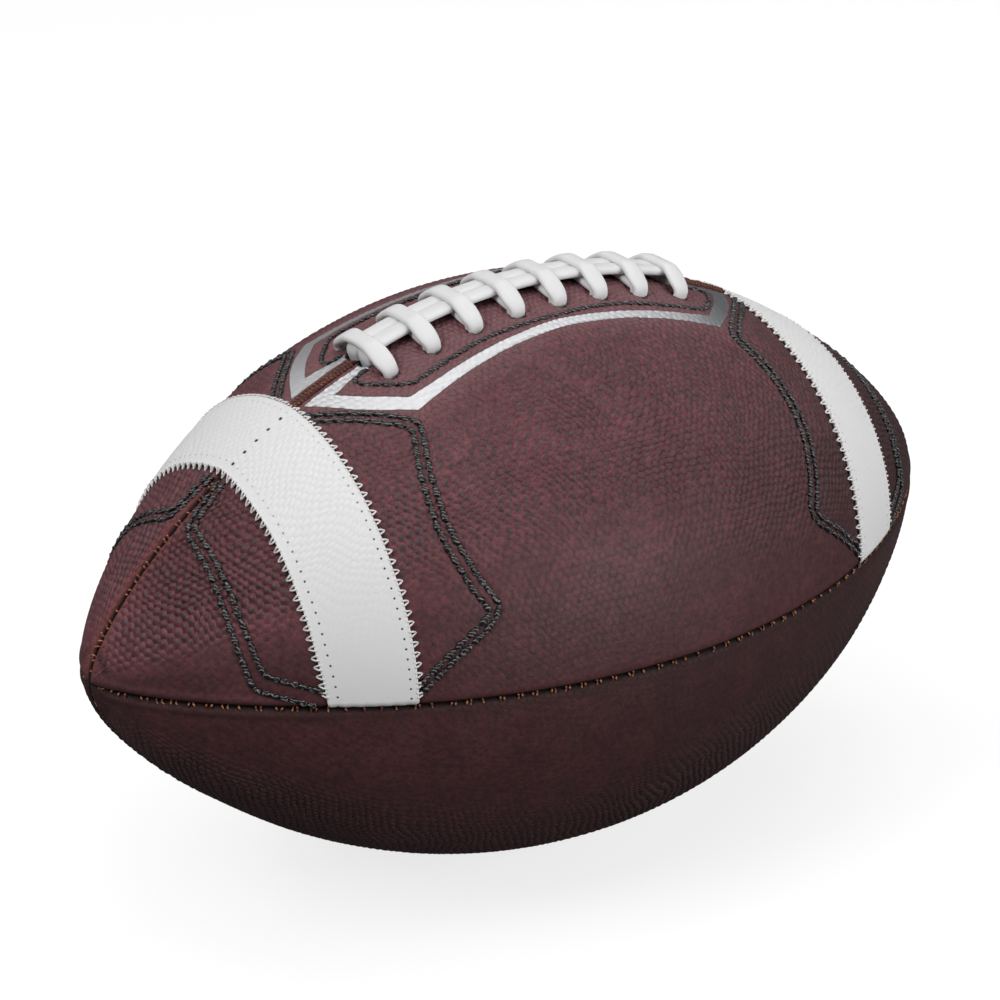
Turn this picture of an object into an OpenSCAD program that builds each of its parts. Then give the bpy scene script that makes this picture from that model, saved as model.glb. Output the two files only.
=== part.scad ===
// American football: four leather panels with turned-in seams, their linings,
// two sewn-on stripes, a one-piece lace, an inflated bladder and its needle valve.
// X runs along the ball, +Z points up through the lacing, the origin is the centre.
// Seen along +X the right side is -Y, and the front is the end at -X.

/* [Ball] */
// Half of the length from nose to nose
half_length = 144; // [136:0.5:150]
// Half of the greatest width
half_width = 84.2; // [80:0.1:88]
// Share that draws the ends to a point
nose_share = 0.72; // [0.6:0.01:0.78]
// Share that fills out the flanks
flank_share = 0.24; // [0.1:0.01:0.3]

/* [Leather panels] */
// Thickness of the leather
leather_t = 2.5; // [1.8:0.1:3]
// Gap between the two panels of a seam
seam_gap = 0.2; // [0.1:0.05:0.4]
// Radius of a panel's shoulder where it turns into a seam
seam_round = 2.2; // [1.5:0.1:3]
// Radius inside that turn
fold_round = 0.8; // [0.5:0.1:1.2]
// Depth of the turned-in seam allowance below the surface
seam_fold = 6; // [5.2:0.1:7]
// Width of a nose at which the seams start to draw in
nose_w = 22; // [18:1:28]

/* [Lining] */
// Thickness of the woven lining behind each panel
lining_t = 0.7; // [0.5:0.1:1.2]
// Clearance between one layer and the next
layer_gap = 0.15; // [0.1:0.05:0.3]

/* [Stripes] */
// Width of a stripe along the axis
stripe_w = 23.2; // [18:0.1:26]
// Thickness of a stripe
stripe_t = 0.8; // [0.5:0.1:1.2]

/* [Lacing] */
// Pairs of lace holes
lace_pairs = 8; // [6:1:8]
// Distance from one pair to the next
lace_pitch = 14.5; // [13:0.1:15]
// Distance between the two holes of a pair, over the leather
lace_span = 27.4; // [26:0.1:32]
// Diameter of a lace hole
lace_hole_d = 6; // [5.8:0.1:7]
// Width of the lace
lace_w = 5.2; // [4.6:0.1:5.6]
// Thickness of the lace
lace_t = 1.8; // [1.5:0.1:2]
// Air between two layers of the lace
lace_gap = 0.6; // [0.55:0.05:0.8]
// Distance from the last pair to the end of the slit
slit_reach = 6; // [5.5:0.1:8]

/* [Seam welts] */
// Diameter of the rolled welt in the top seam, between the lacing and a stripe
welt_d = 2.8; // [2.2:0.1:3.4]
// Length of the welt along the axis, which sets where the stripes lie
welt_length = 16.8; // [10:0.1:18]

/* [Lace facing and tongue] */
// Thickness of the facing behind the lace holes
facing_t = 1.2; // [0.8:0.1:1.6]
// Width of a facing, from the slit outwards
facing_w = 20; // [19:0.5:24]
// Length of a facing past the last lace hole
facing_reach = 12; // [10:0.5:16]
// Thickness of the tongue between the lace and the bladder
tongue_t = 1.5; // [1:0.1:2]
// Width of the tongue
tongue_w = 44; // [38:1:50]

/* [Bladder and valve] */
// Thickness of the bladder's wall
bladder_t = 0.6; // [0.4:0.1:1]
// Distance of the valve from the bottom seam, over the leather
valve_offset = 24; // [20:0.5:34]
// Diameter of the rubber plug
plug_d = 5; // [4.4:0.1:7]
// Length of the rubber plug
plug_length = 12.5; // [11:0.5:15]
// Depth of the plug's face below the leather
plug_sunk = 0.5; // [0.3:0.1:0.9]
// Diameter of the needle's way through the plug
needle_d = 2; // [1.8:0.1:2.4]
// Length of the needle's way
needle_depth = 9; // [7:0.5:10]
// Width of the mouth that leads the needle in
needle_mouth_d = 3.4; // [3:0.1:4]
// Clearance of the plug in its housing
plug_gap = 0.05; // [0.02:0.01:0.1]
// Wall of the housing around the plug
housing_wall = 2; // [1.5:0.1:3]
// Diameter of the housing's flange on the bladder
flange_d = 28; // [22:0.5:34]
// Thickness of that flange
flange_t = 1; // [0.8:0.1:1.5]
// Clearance of the valve in the hole through leather and lining
valve_hole_gap = 0.4; // [0.3:0.1:0.8]
// Diameter of the patch that backs the valve's hole
backing_d = 24; // [18:0.5:28]
// Thickness of that patch
backing_t = 0.8; // [0.5:0.1:1.2]

/* [Hidden] */

// Colours of the pieces
hide_brown = "#4a2326";
stripe_white = "#e9e9ea";
lace_white = "#f1f0ec";
cloth_tan = "#b9a98c";
facing_brown = "#6b4a35";
welt_brown = "#5d2f23";
bladder_grey = "#39424a";
rubber_black = "#202022";

// Fineness of the panels, the revolved layers and the round cutters
panel_steps = 30;
arc_steps = 9;
turn_steps = 3;
welt_steps = 8;
welt_sides = 8;
round_fn = 48;
overrun = 3;
// Radius at which a panel's points end, so that the four close the nose
nose_hole_r = 0.5;
// Angle over which a slope of the outline is measured
slope_angle = 0.1;

lace_end_x = (lace_pairs - 1) * lace_pitch / 2;
slit_end_x = lace_end_x + slit_reach;
welt_start_x = slit_end_x + lace_hole_d / 2 + layer_gap;
stripe_inner_x = welt_start_x + welt_length + layer_gap;

// How far the flat facets of a panel lie inside the round layers, at most
facet_sag = half_width * (1 - cos(45 / arc_steps));
// Depths below the leather's surface, from the outside in
lining_depth = leather_t + facet_sag + layer_gap;
facing_depth = lining_depth + lining_t + layer_gap;
facing_back = facing_depth + facing_t;
// Middle of the lace beneath the facing: the first pass, and the last one below it
lace_half_layer = (lace_t + lace_gap) / 2;
first_depth = facing_back + lace_half_layer;
last_depth = first_depth + 2 * lace_half_layer;
tongue_depth = last_depth + lace_half_layer;
dent_depth = tongue_depth + tongue_t + layer_gap;
bladder_depth = seam_fold + layer_gap;

// Heights of the lace's middle above the leather
lower_height = lace_half_layer;
run_height = lower_height + 2 * lace_half_layer;
upper_height = run_height + 2 * lace_half_layer;

// The outline, for an angle t that is 0 at the +X nose and 180 at the other
function outline_radius(c) =
    half_width * sqrt((1 - c * c) * (1 - nose_share * c * c) * (1 + flank_share * c * c));
function outline(t) = [half_length * cos(t), outline_radius(cos(t))];
function slope(t) = outline(min(t + slope_angle, 180)) - outline(max(t - slope_angle, 0));
function outward(t) = let (g = slope(t)) [g[1], -g[0]] / norm(g);
// The outline moved in by a depth, square to the surface
function layer_point(t, depth) = outline(t) - depth * outward(t);
function angle_at(x) = acos(x / half_length);
// Angle t at which the outline first reaches a radius, found by halving
function angle_of_radius(r, low = 0, high = 90, left = 30) =
    left == 0 ? (low + high) / 2
    : outline((low + high) / 2)[1] > r ? angle_of_radius(r, low, (low + high) / 2, left - 1)
    : angle_of_radius(r, (low + high) / 2, high, left - 1);

// Stations from nose to nose that the panels and the round layers share
first_station = angle_of_radius(nose_hole_r);
stations = [for (i = [0 : panel_steps]) first_station + (180 - 2 * first_station) * i / panel_steps];

// A point over the leather: x along the ball, s across it from the lace seam, h above it
function lean_of(x, s) = s / outline(angle_at(x))[1] * 180 / PI;
function over_leather(x, s, h) =
    let (p = layer_point(angle_at(x), -h), f = lean_of(x, s)) [p[0], p[1] * sin(f), p[1] * cos(f)];
// Directions at such a point: along the ball, and across it
function along_ball(x, s) =
    let (g = -slope(angle_at(x)), f = lean_of(x, s)) [g[0], g[1] * sin(f), g[1] * cos(f)] / norm(g);
function across_ball(x, s) = let (f = lean_of(x, s)) [0, cos(f), -sin(f)];

// A panel fills +Y +Z and is mirrored to the other three places
module to_right() { mirror([0, 1, 0]) children(); }
module to_bottom() { mirror([0, 0, 1]) children(); }
module to_front() { mirror([1, 0, 0]) children(); }

// Solid of revolution at a depth below the leather
module layer_solid(depth) {
    ends = concat([0], stations, [180]);
    rotate([0, 90, 0])
        rotate_extrude($fn = round_fn)
            polygon([for (t = ends) let (p = layer_point(t, depth))
                [t % 180 == 0 ? 0 : max(p[1], 0), p[0]]]);
}

module layer_shell(depth, thickness) {
    difference() {
        layer_solid(depth);
        layer_solid(depth + thickness);
    }
}

// The quarter of space of one panel, kept a distance from both seam planes
module quarter(keep_off) {
    side = half_width + overrun;
    translate([-half_length - overrun, keep_off, keep_off])
        cube([2 * (half_length + overrun), side, side]);
}

// A box under the lacing: its reach along the ball and its width across it, from -Y to +Y
module under_lacing(reach, from_y, to_y) {
    translate([-reach, from_y, 0])
        cube([2 * reach, to_y - from_y, half_width + overrun]);
}

// A cutter square to the leather at x and s, down to a depth
module leather_drill(x, s, d, depth) {
    n = outward(angle_at(x));
    translate(over_leather(x, s, 0))
        rotate([-lean_of(x, s), 0, 0])
            rotate([0, atan2(n[0], n[1]), 0])
                translate([0, 0, -depth])
                    cylinder(d = d, h = depth + overrun, $fn = round_fn);
}

function bar_x(i) = (i - (lace_pairs - 1) / 2) * lace_pitch;

// Lace holes of one side, and the openings at both ends of the slit
module lace_drills(depth) {
    for (i = [0 : lace_pairs - 1])
        leather_drill(bar_x(i), lace_span / 2, lace_hole_d, depth);
    for (x = [-slit_end_x, slit_end_x])
        leather_drill(x, 0, lace_hole_d, depth);
}

// Near a nose the shoulders and folds are drawn in, from a share of 1 to almost 0
function draw_share(r) = min(1, 2 * r / nose_w);
// Depth of the fold at the lace seam: along the slit it ends just behind the leather
function lace_fold(x) =
    let (past = max(0, min(1, (abs(x) - slit_end_x - lace_hole_d) / (2 * seam_fold))))
    past * seam_fold + (1 - past) * (leather_t + fold_round + layer_gap);

// One edge of a panel's section: [distance from the seam plane, depth], from the fold's tip out
function edge_section(fold, draw, inner) =
    let (face = seam_gap / 2 + (inner ? leather_t * draw : 0),
         turn_r = (inner ? fold_round : seam_round) * draw,
         top = inner ? leather_t : 0)
    concat([[face, fold]],
        [for (k = [0 : turn_steps]) let (a = 90 * k / turn_steps)
            [face + turn_r * (1 - cos(a)), top + turn_r * (1 - sin(a))]]);

// A point at a distance from a seam plane, on the layer at a depth
function near_seam(t, e) =
    let (p = layer_point(t, e[1])) [p[0], e[0], sqrt(max(p[1] * p[1] - e[0] * e[0], 0))];

// A panel's outer or inner face at one station, from the lace seam to the side seam
function panel_chain(t, laced, inner) =
    let (r = outline(t)[1],
         upper = edge_section(laced ? lace_fold(outline(t)[0]) : seam_fold, draw_share(r), inner),
         lower = edge_section(seam_fold, draw_share(r), inner),
         a = [for (e = upper) near_seam(t, e)],
         b = [for (e = lower) let (q = near_seam(t, e)) [q[0], q[2], q[1]]],
         last = len(a) - 1,
         from = atan2(a[last][1], a[last][2]),
         to = atan2(b[last][1], b[last][2]),
         p = layer_point(t, inner ? leather_t : 0))
    concat(a,
        [for (k = [1 : arc_steps - 1]) let (f = from + (to - from) * k / arc_steps)
            [p[0], p[1] * sin(f), p[1] * cos(f)]],
        [for (k = [last : -1 : 0]) b[k]]);

// Two triangles of a quad
function quad(a, b, c, d) = [[a, b, c], [a, c, d]];

// A leather panel: a curved shell whose long edges turn in to the seams
module panel_body(laced) {
    points = [for (t = stations) each concat(panel_chain(t, laced, false), panel_chain(t, laced, true))];
    n = 2 * (turn_steps + 2) + arc_steps - 1;
    ring = 2 * n;
    sides = [for (i = [0 : panel_steps - 1]) let (o = i * ring, q = o + n) each concat(
        [for (k = [0 : n - 2]) each quad(o + k, o + k + 1, o + ring + k + 1, o + ring + k)],
        [for (k = [0 : n - 2]) each quad(q + k, q + ring + k, q + ring + k + 1, q + k + 1)],
        quad(o, o + ring, q + ring, q),
        quad(o + n - 1, q + n - 1, q + ring + n - 1, o + ring + n - 1))];
    end = panel_steps * ring;
    caps = [for (k = [0 : n - 2]) each concat(
        quad(k, n + k, n + k + 1, k + 1),
        quad(end + k, end + k + 1, end + n + k + 1, end + n + k))];
    polyhedron(points, concat(sides, caps), convexity = 6);
}

module top_panel() {
    color(hide_brown)
        difference() {
            panel_body(true);
            lace_drills(leather_t + overrun);
        }
}

module bottom_panel() {
    color(hide_brown) panel_body(false);
}

module bottom_panel_with_valve() {
    difference() {
        bottom_panel();
        to_bottom() valve_drill();
    }
}

// The lining behind one panel stops short of the turned-in seams
lining_keep_off = seam_gap / 2 + leather_t + fold_round + layer_gap;

module lining() {
    color(cloth_tan)
        intersection() {
            layer_shell(lining_depth, lining_t);
            quarter(lining_keep_off);
        }
}

module top_lining() {
    difference() {
        lining();
        lace_drills(facing_depth + overrun);
    }
}

module bottom_lining_with_valve() {
    difference() {
        lining();
        to_bottom() valve_drill();
    }
}

// A stripe is one strip over both top panels, from side seam to side seam
module stripe() {
    color(stripe_white)
        intersection() {
            layer_shell(-layer_gap - stripe_t, stripe_t);
            translate([stripe_inner_x, -half_width - overrun, (seam_gap + seam_round) / 2])
                cube([stripe_w, 2 * (half_width + overrun), half_width + overrun]);
        }
}

// A tube of rings of points, closed at both ends
module tube(rings) {
    n = len(rings[0]);
    last = len(rings) - 1;
    sides = [for (i = [0 : last - 1], k = [0 : n - 1]) let (o = i * n, m = (k + 1) % n)
        each quad(o + k, o + n + k, o + n + m, o + m)];
    ends = [[for (k = [0 : n - 1]) k], [for (k = [n - 1 : -1 : 0]) last * n + k]];
    polyhedron([for (ring = rings) each ring], concat(sides, ends), convexity = 12);
}

// The rolled welt rests on the shoulders of both panels, between the slit and a stripe
module seam_welt() {
    welt_r = welt_d / 2;
    reach = seam_round + welt_r + layer_gap;
    height = sqrt(reach * reach - pow(seam_gap / 2 + seam_round, 2)) - seam_round;
    color(welt_brown)
        tube([for (i = [0 : welt_steps]) let (x = welt_start_x + welt_length * i / welt_steps)
            [for (k = [0 : welt_sides - 1]) let (a = 360 * k / welt_sides)
                over_leather(x, welt_r * cos(a), height + welt_r * sin(a))]]);
}

// Reinforcement behind the lace holes of one side
lacing_reach = lace_end_x + facing_reach;

module facing() {
    color(facing_brown)
        difference() {
            intersection() {
                layer_shell(facing_depth, facing_t);
                under_lacing(lacing_reach, lining_keep_off, facing_w);
            }
            lace_drills(facing_back + overrun);
        }
}

// Pad between the lace and the bladder
module tongue() {
    color(facing_brown)
        intersection() {
            layer_shell(tongue_depth, tongue_t);
            under_lacing(lacing_reach, -tongue_w / 2, tongue_w / 2);
        }
}

// The lace is one strand. It crosses the slit once at every pair of holes, runs to the far
// end and back over these bars, and then crosses again over both runs, through the same holes.
// A place of it is [x, s, h, turn of its width from the X axis, share of its width].

// Shares of the lace's width in a lace hole and in an end of the slit
hole_share = 0.72;
slit_share = 0.5;
// A bar from its middle to its hole, in shares of the half span and of its height
upper_bar_shares = [[0, 1], [0.37, 1], [0.56, 0.94], [0.72, 0.8], [0.86, 0.57], [0.97, 0.25]];
lower_bar_shares = [[0, 1], [0.3, 1], [0.6, 1], [0.86, 0.88], [0.97, 0.4]];
// The lower bars bow out to the front at their middle, by a share of the lace's width
bow_share = 0.35;
// A crossing beneath the facing: shares of the half span, and of the lace's width
crossing_shares = [[0.86, hole_share], [0.4, 1], [0, 1], [-0.4, 1], [-0.86, hole_share]];
// The tucked ends of the lace, in shares of the half span: the start, and the finish
start_shares = [0, 0.5, 0.86];
finish_shares = [0.86, 0.5, 0.2];
// The way from a slit's end to a hole: shares of the reach and of the half span, turn, width share
lead_shares = [[0.85, 0, 90, 0.5], [0.5, 0.15, 55, 0.55], [0.25, 0.42, 25, 0.65], [0.08, 0.8, 8, 0.72]];
// Fold of a centre run down into the slit's end: shares of the lace's width, of the height, of width
fold_shares = [[0.62, 1, 1], [0.3, 0.95, 0.9], [0.1, 0.68, 0.75], [0, 0.3, 0.6]];
// Steps of the turn beneath the front end of the slit
turn_back_steps = 6;
// Two strands side by side are set apart by this, as the ball is narrower beneath the leather
spread_share = 1.12;

lower_reach = lace_span / 2 - spread_share * lace_half_layer;
upper_reach = lace_span / 2 + spread_share * lace_half_layer;

function mirrored(places) = [for (e = places) [e[0], -e[1], e[2], -e[3], e[4]]];
function reversed(places) = [for (i = [len(places) - 1 : -1 : 0]) places[i]];

// Half of a bar, from its middle down through its hole to the level beneath
function half_bar(x, shares, reach, height, bow, depth) =
    let (last = len(shares) - 1, end_share = (1 + hole_share) / 2)
    concat(
        [for (k = [0 : last]) let (e = shares[k])
            [x - bow * (1 - e[0] * e[0]), e[0] * reach, e[1] * height, 0, k == last ? end_share : 1]],
        [[x, reach, -lace_half_layer, 0, hole_share],
         [x, reach, lace_half_layer - depth, 0, hole_share]]);
function bar(x, shares, reach, height, bow, depth) =
    let (half = half_bar(x, shares, reach, height, bow, depth))
    concat(reversed(mirrored([for (i = [1 : len(half) - 1]) half[i]])), half);

// Beneath the facing, from the hole of one bar at +s to the hole of the next at -s
function crossing(x0, x1, reach, depth) =
    let (turn = atan2(x1 - x0, 2 * reach), half_x = (x1 - x0) / 2)
    [for (e = crossing_shares) [x0 + half_x * (1 - e[0]), e[0] * reach, -depth, turn, e[1]]];

// From the hole of the last bar to the rear end of the slit, beneath the facing
function lead_in(reach, depth) =
    reversed([for (e = lead_shares)
        [lace_end_x + slit_reach * e[0], deep_s + (reach - deep_s) * e[1], -depth, e[2], e[3]]]);
// Up through an end of the slit and over to the centre run, at x = end and s > 0
function rise(end, depth, dir) =
    concat(
        [[end, deep_s, lace_half_layer - depth, 90, slit_share],
         [end, slit_s, -lace_half_layer, 90, slit_share]],
        reversed([for (e = fold_shares)
            [end - dir * e[0] * lace_w, strand_s(e[2]), e[1] * run_height, 90, e[2]]]));
// Distance of a strand from the middle when two lie side by side
function strand_s(share) = (share * lace_w + lace_gap) / 2;
slit_s = strand_s(slit_share);
deep_s = spread_share * slit_s;

function centre_run() =
    [for (i = [lace_pairs - 1 : -1 : 0]) [bar_x(i), strand_s(1), run_height, 90, 1]];

// From the run at +s down, around and up again to the run at -s, beneath the front end
function turn_back() =
    let (back = reversed(rise(-slit_end_x, first_depth, -1)),
         centre_x = -slit_end_x - lace_half_layer)
    concat(back,
        [for (k = [0 : turn_back_steps]) let (f = 180 * k / turn_back_steps)
            [centre_x - deep_s * sin(f), deep_s * cos(f), -first_depth, 90 + f, slit_share]],
        [for (e = reversed(mirrored(back))) [e[0], e[1], e[2], 270, e[4]]]);

function with_turn(places, turn) = [for (e = places) [e[0], e[1], e[2], turn + e[3], e[4]]];

function lace_places() =
    let (n = lace_pairs - 1,
         bow = bow_share * lace_w,
         way_up = concat(lead_in(lower_reach, first_depth), rise(slit_end_x, first_depth, 1)),
         way_down = concat(lead_in(upper_reach, last_depth), rise(slit_end_x, last_depth, 1)))
    concat(
        [for (e = start_shares) [bar_x(0), -e * lower_reach, -first_depth, 0, hole_share]],
        [for (i = [0 : n]) each concat(
            bar(bar_x(i), lower_bar_shares, lower_reach, lower_height, bow, first_depth),
            i < n ? crossing(bar_x(i), bar_x(i + 1), lower_reach, first_depth) : [])],
        way_up,
        centre_run(),
        turn_back(),
        [for (e = reversed(mirrored(centre_run()))) [e[0], e[1], e[2], 270, e[4]]],
        with_turn(reversed(mirrored(way_down)), 360),
        [for (i = [n : -1 : 0]) each with_turn(concat(
            bar(bar_x(i), upper_bar_shares, upper_reach, upper_height, 0, last_depth),
            i > 0 ? crossing(bar_x(i), bar_x(i - 1), upper_reach, last_depth) : []), 360)],
        [for (e = finish_shares) [bar_x(0), e * upper_reach, -last_depth, 360, hole_share]]);

// Outline of the lace's section, in shares of half its width and half its thickness
strand_shares = [
    [1, 0.45], [0.82, 1], [-0.82, 1], [-1, 0.45],
    [-1, -0.45], [-0.82, -1], [0.82, -1], [1, -0.45]
];

function unit(v) = v / norm(v);
function lace_rings(places) =
    let (last = len(places) - 1, p = [for (e = places) over_leather(e[0], e[1], e[2])])
    [for (i = [0 : last])
        let (e = places[i],
             ahead = unit(p[min(i + 1, last)] - p[max(i - 1, 0)]),
             flat = cos(e[3]) * along_ball(e[0], e[1]) + sin(e[3]) * across_ball(e[0], e[1]),
             wide = unit(flat - (flat * ahead) * ahead),
             up = cross(ahead, wide))
        [for (c = strand_shares) p[i] + c[0] * e[4] * lace_w / 2 * wide + c[1] * lace_t / 2 * up]];

// Least distance between points of the lace that are more than its width apart along it
function lace_self_gap(places, rings) =
    let (last = len(places) - 1,
         p = [for (e = places) over_leather(e[0], e[1], e[2])],
         way = [for (i = 0, l = 0; i <= last; l = l + norm(p[min(i + 1, last)] - p[i]), i = i + 1) l])
    min([for (i = [0 : last - 1], j = [i + 1 : last])
        if (way[j] - way[i] > lace_w && norm(p[j] - p[i]) < 1.5 * lace_w)
            min([for (a = rings[i], b = rings[j]) norm(a - b)])]);

module lace() {
    places = lace_places();
    rings = lace_rings(places);
    echo(least_gap_of_the_lace_to_itself_mm = lace_self_gap(places, rings));
    color(lace_white) tube(rings);
}

// The bladder fills the ball inside the seam folds, and is pressed in under the lacing
module bladder_space(wall) {
    dent_y = max(tongue_w / 2, facing_w) + layer_gap + wall;
    layer_solid(dent_depth + wall);
    difference() {
        layer_solid(bladder_depth + wall);
        under_lacing(lacing_reach + layer_gap + wall, -dent_y, dent_y);
    }
}

module bladder() {
    color(bladder_grey)
        difference() {
            bladder_space(0);
            bladder_space(bladder_t);
            valve_drill();
        }
}

// The valve points out through the left bottom panel, near the bottom seam
module at_valve() {
    rotate([180 + valve_offset / half_width * 180 / PI, 0, 0]) children();
}

module valve_drill() {
    reach = bladder_depth + bladder_t + overrun;
    at_valve()
        translate([0, 0, half_width - reach])
            cylinder(d = plug_d + 2 * valve_hole_gap, h = reach + overrun, $fn = round_fn);
}

// Patch behind the lining, round the valve's hole
module valve_backing() {
    color(facing_brown)
        difference() {
            intersection() {
                layer_shell(facing_depth, backing_t);
                at_valve() cylinder(d = backing_d, h = half_width, $fn = round_fn);
            }
            valve_drill();
        }
}

// Depth of the plug's inner end below the leather
plug_end_depth = plug_sunk + plug_length;

module valve_housing() {
    housing_depth = bladder_depth + bladder_t + layer_gap;
    sleeve_d = plug_d + 2 * (plug_gap + housing_wall);
    color(rubber_black)
        difference() {
            union() {
                intersection() {
                    layer_shell(housing_depth, flange_t);
                    at_valve() cylinder(d = flange_d, h = half_width, $fn = round_fn);
                }
                intersection() {
                    layer_solid(housing_depth);
                    at_valve()
                        translate([0, 0, half_width - plug_end_depth])
                            cylinder(d = sleeve_d, h = plug_end_depth, $fn = round_fn);
                }
            }
            at_valve()
                translate([0, 0, half_width - plug_end_depth - overrun])
                    cylinder(d = plug_d + 2 * plug_gap, h = plug_end_depth + overrun, $fn = round_fn);
        }
}

module valve_plug() {
    mouth_depth = (needle_mouth_d - needle_d) / 2;
    color(rubber_black)
        at_valve()
            translate([0, 0, half_width - plug_sunk])
                rotate([180, 0, 0])
                    difference() {
                        cylinder(d = plug_d, h = plug_length, $fn = round_fn);
                        translate([0, 0, -overrun])
                            cylinder(d = needle_d, h = needle_depth + overrun, $fn = round_fn);
                        cylinder(d1 = needle_mouth_d, d2 = needle_d, h = mouth_depth, $fn = round_fn);
                    }
}

to_right() top_panel();  // panel_top_right
top_panel();  // panel_top_left
to_right() to_bottom() bottom_panel();  // panel_bottom_right
to_bottom() bottom_panel_with_valve();  // panel_bottom_left
to_right() top_lining();  // lining_top_right
top_lining();  // lining_top_left
to_right() to_bottom() lining();  // lining_bottom_right
to_bottom() bottom_lining_with_valve();  // lining_bottom_left
to_front() stripe();  // stripe_front
stripe();  // stripe_rear
to_front() seam_welt();  // seam_welt_front
seam_welt();  // seam_welt_rear
to_right() facing();  // facing_right
facing();  // facing_left
tongue();
lace();
bladder();
valve_backing();
valve_housing();
valve_plug();
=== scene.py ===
# %% [markdown]
# An American football, dressed for a picture.
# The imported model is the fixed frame: twenty solids made in CAD, in metres, with X along the
# ball, +Z up through the lacing, and the origin at its centre. The pieces that are seen are
# made again here with more detail, in the same places, and each one rides on the frame.

# %% Load the frame
import math

import bmesh
import bpy
import numpy as np
from mathutils import Matrix, Vector


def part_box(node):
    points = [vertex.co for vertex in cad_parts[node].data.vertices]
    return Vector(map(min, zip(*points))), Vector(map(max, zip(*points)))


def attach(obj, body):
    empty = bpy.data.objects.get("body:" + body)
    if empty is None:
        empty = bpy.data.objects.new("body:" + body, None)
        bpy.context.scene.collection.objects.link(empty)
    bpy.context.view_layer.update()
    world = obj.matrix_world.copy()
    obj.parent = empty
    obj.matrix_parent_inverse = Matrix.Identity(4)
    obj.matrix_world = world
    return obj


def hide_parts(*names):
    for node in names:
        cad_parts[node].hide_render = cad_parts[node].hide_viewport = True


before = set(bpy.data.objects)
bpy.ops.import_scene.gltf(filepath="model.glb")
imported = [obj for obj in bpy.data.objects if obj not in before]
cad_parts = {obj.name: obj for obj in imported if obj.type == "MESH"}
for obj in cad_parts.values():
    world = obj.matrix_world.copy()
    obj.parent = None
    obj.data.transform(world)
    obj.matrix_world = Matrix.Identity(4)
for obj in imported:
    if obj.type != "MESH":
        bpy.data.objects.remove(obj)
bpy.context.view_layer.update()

MM = 0.001
scene = bpy.context.scene

# %% [markdown]
# The camera. The photograph was taken from the front and right, a little above the ball,
# with a long lens that hardly narrows what is far. The view is written as a place and the
# directions to the right and to the top of the picture, and the third direction is square to
# these two. Angles would do as well, but directions show at once how the camera is turned.

# %% Camera
camera_data = bpy.data.cameras.new("camera")
camera_data.lens = 151.93
camera_data.sensor_width = 36
camera = bpy.data.objects.new("camera", camera_data)
scene.collection.objects.link(camera)
to_right = Vector((0.82001, -0.57231, -0.00709))
to_top = Vector((0.23905, 0.3312, 0.91278))
to_back = to_right.cross(to_top)
camera.matrix_world = Matrix.Translation((-0.64705, -0.92603, 0.52351)) @ Matrix(
    (to_right, to_top, to_back)).transposed().to_4x4()
scene.camera = camera
print("camera", [round(c, 3) for c in camera.location])

# %% [markdown]
# Helpers for materials. A shader is a net of nodes. Adding a node, setting it and linking its
# inputs always goes the same way, so one helper does it: an input that gets a socket is
# linked, and any other value is written on the node's own socket.

# %% Node helpers
def add_node(tree, kind, inputs=None, **settings):
    """Adds a node, sets it, and links or fills its inputs."""
    made = tree.nodes.new(kind)
    for name, value in settings.items():
        setattr(made, name, value)
    for key, value in (inputs or {}).items():
        if isinstance(value, bpy.types.NodeSocket):
            tree.links.new(value, made.inputs[key])
        else:
            made.inputs[key].default_value = value
    return made


def calc(tree, operation, a, b=0.0, c=0.0, clamp=False):
    """One sum, product or comparison of numbers or sockets."""
    return add_node(tree, "ShaderNodeMath", {0: a, 1: b, 2: c}, operation=operation,
                    use_clamp=clamp).outputs[0]


def times(tree, a, b):
    return calc(tree, "MULTIPLY", a, b)


def plus(tree, a, b):
    return calc(tree, "ADD", a, b)


def vector_calc(tree, operation, a, b):
    return add_node(tree, "ShaderNodeVectorMath", {0: a, 1: b}, operation=operation).outputs[0]


def smooth_range(tree, value, low, high, to_low=0.0, to_high=1.0):
    """Turns a value from low to high into one from to_low to to_high, with soft ends."""
    return add_node(tree, "ShaderNodeMapRange",
                    {"Value": value, "From Min": low, "From Max": high,
                     "To Min": to_low, "To Max": to_high},
                    interpolation_type="SMOOTHSTEP").outputs["Result"]


def mix_colour(tree, share, a, b):
    """Blends two colours, each of them a socket or red, green and blue."""
    a, b = ((*colour, 1) if isinstance(colour, tuple) else colour for colour in (a, b))
    return add_node(tree, "ShaderNodeMix", {0: share, 6: a, 7: b}, data_type="RGBA").outputs[2]


def noise(tree, vector, scale, detail=2.0, roughness=0.5):
    return add_node(tree, "ShaderNodeTexNoise", {"Vector": vector, "Scale": scale,
                    "Detail": detail, "Roughness": roughness}).outputs["Fac"]


def new_material(name, **constants):
    """A material with a Principled shader whose plain numbers are set on its own sockets."""
    made = bpy.data.materials.new(name)
    made.use_nodes = True
    shader = made.node_tree.nodes["Principled BSDF"]
    for key, value in constants.items():
        shader.inputs[key.replace("_", " ")].default_value = value
    return made, made.node_tree, shader


def finish_shader(net, shader, colour, rough=None, height=None, strength=0.5, distance=0.2):
    """Links a colour, a roughness and a bump to a shader. The bump's distance is in millimetres."""
    net.links.new(colour, shader.inputs["Base Color"])
    if rough is not None:
        net.links.new(rough, shader.inputs["Roughness"])
    if height is not None:
        bump = add_node(net, "ShaderNodeBump",
                        {"Strength": strength, "Distance": distance * MM, "Height": height})
        net.links.new(bump.outputs[0], shader.inputs["Normal"])


def object_place(net):
    """The place of a point in metres, the same from wherever it is seen."""
    return add_node(net, "ShaderNodeTexCoord").outputs["Object"]


def read_attribute(tree, name, output="Fac"):
    return add_node(tree, "ShaderNodeAttribute", attribute_name=name).outputs[output]


print("node helpers are ready")

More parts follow.
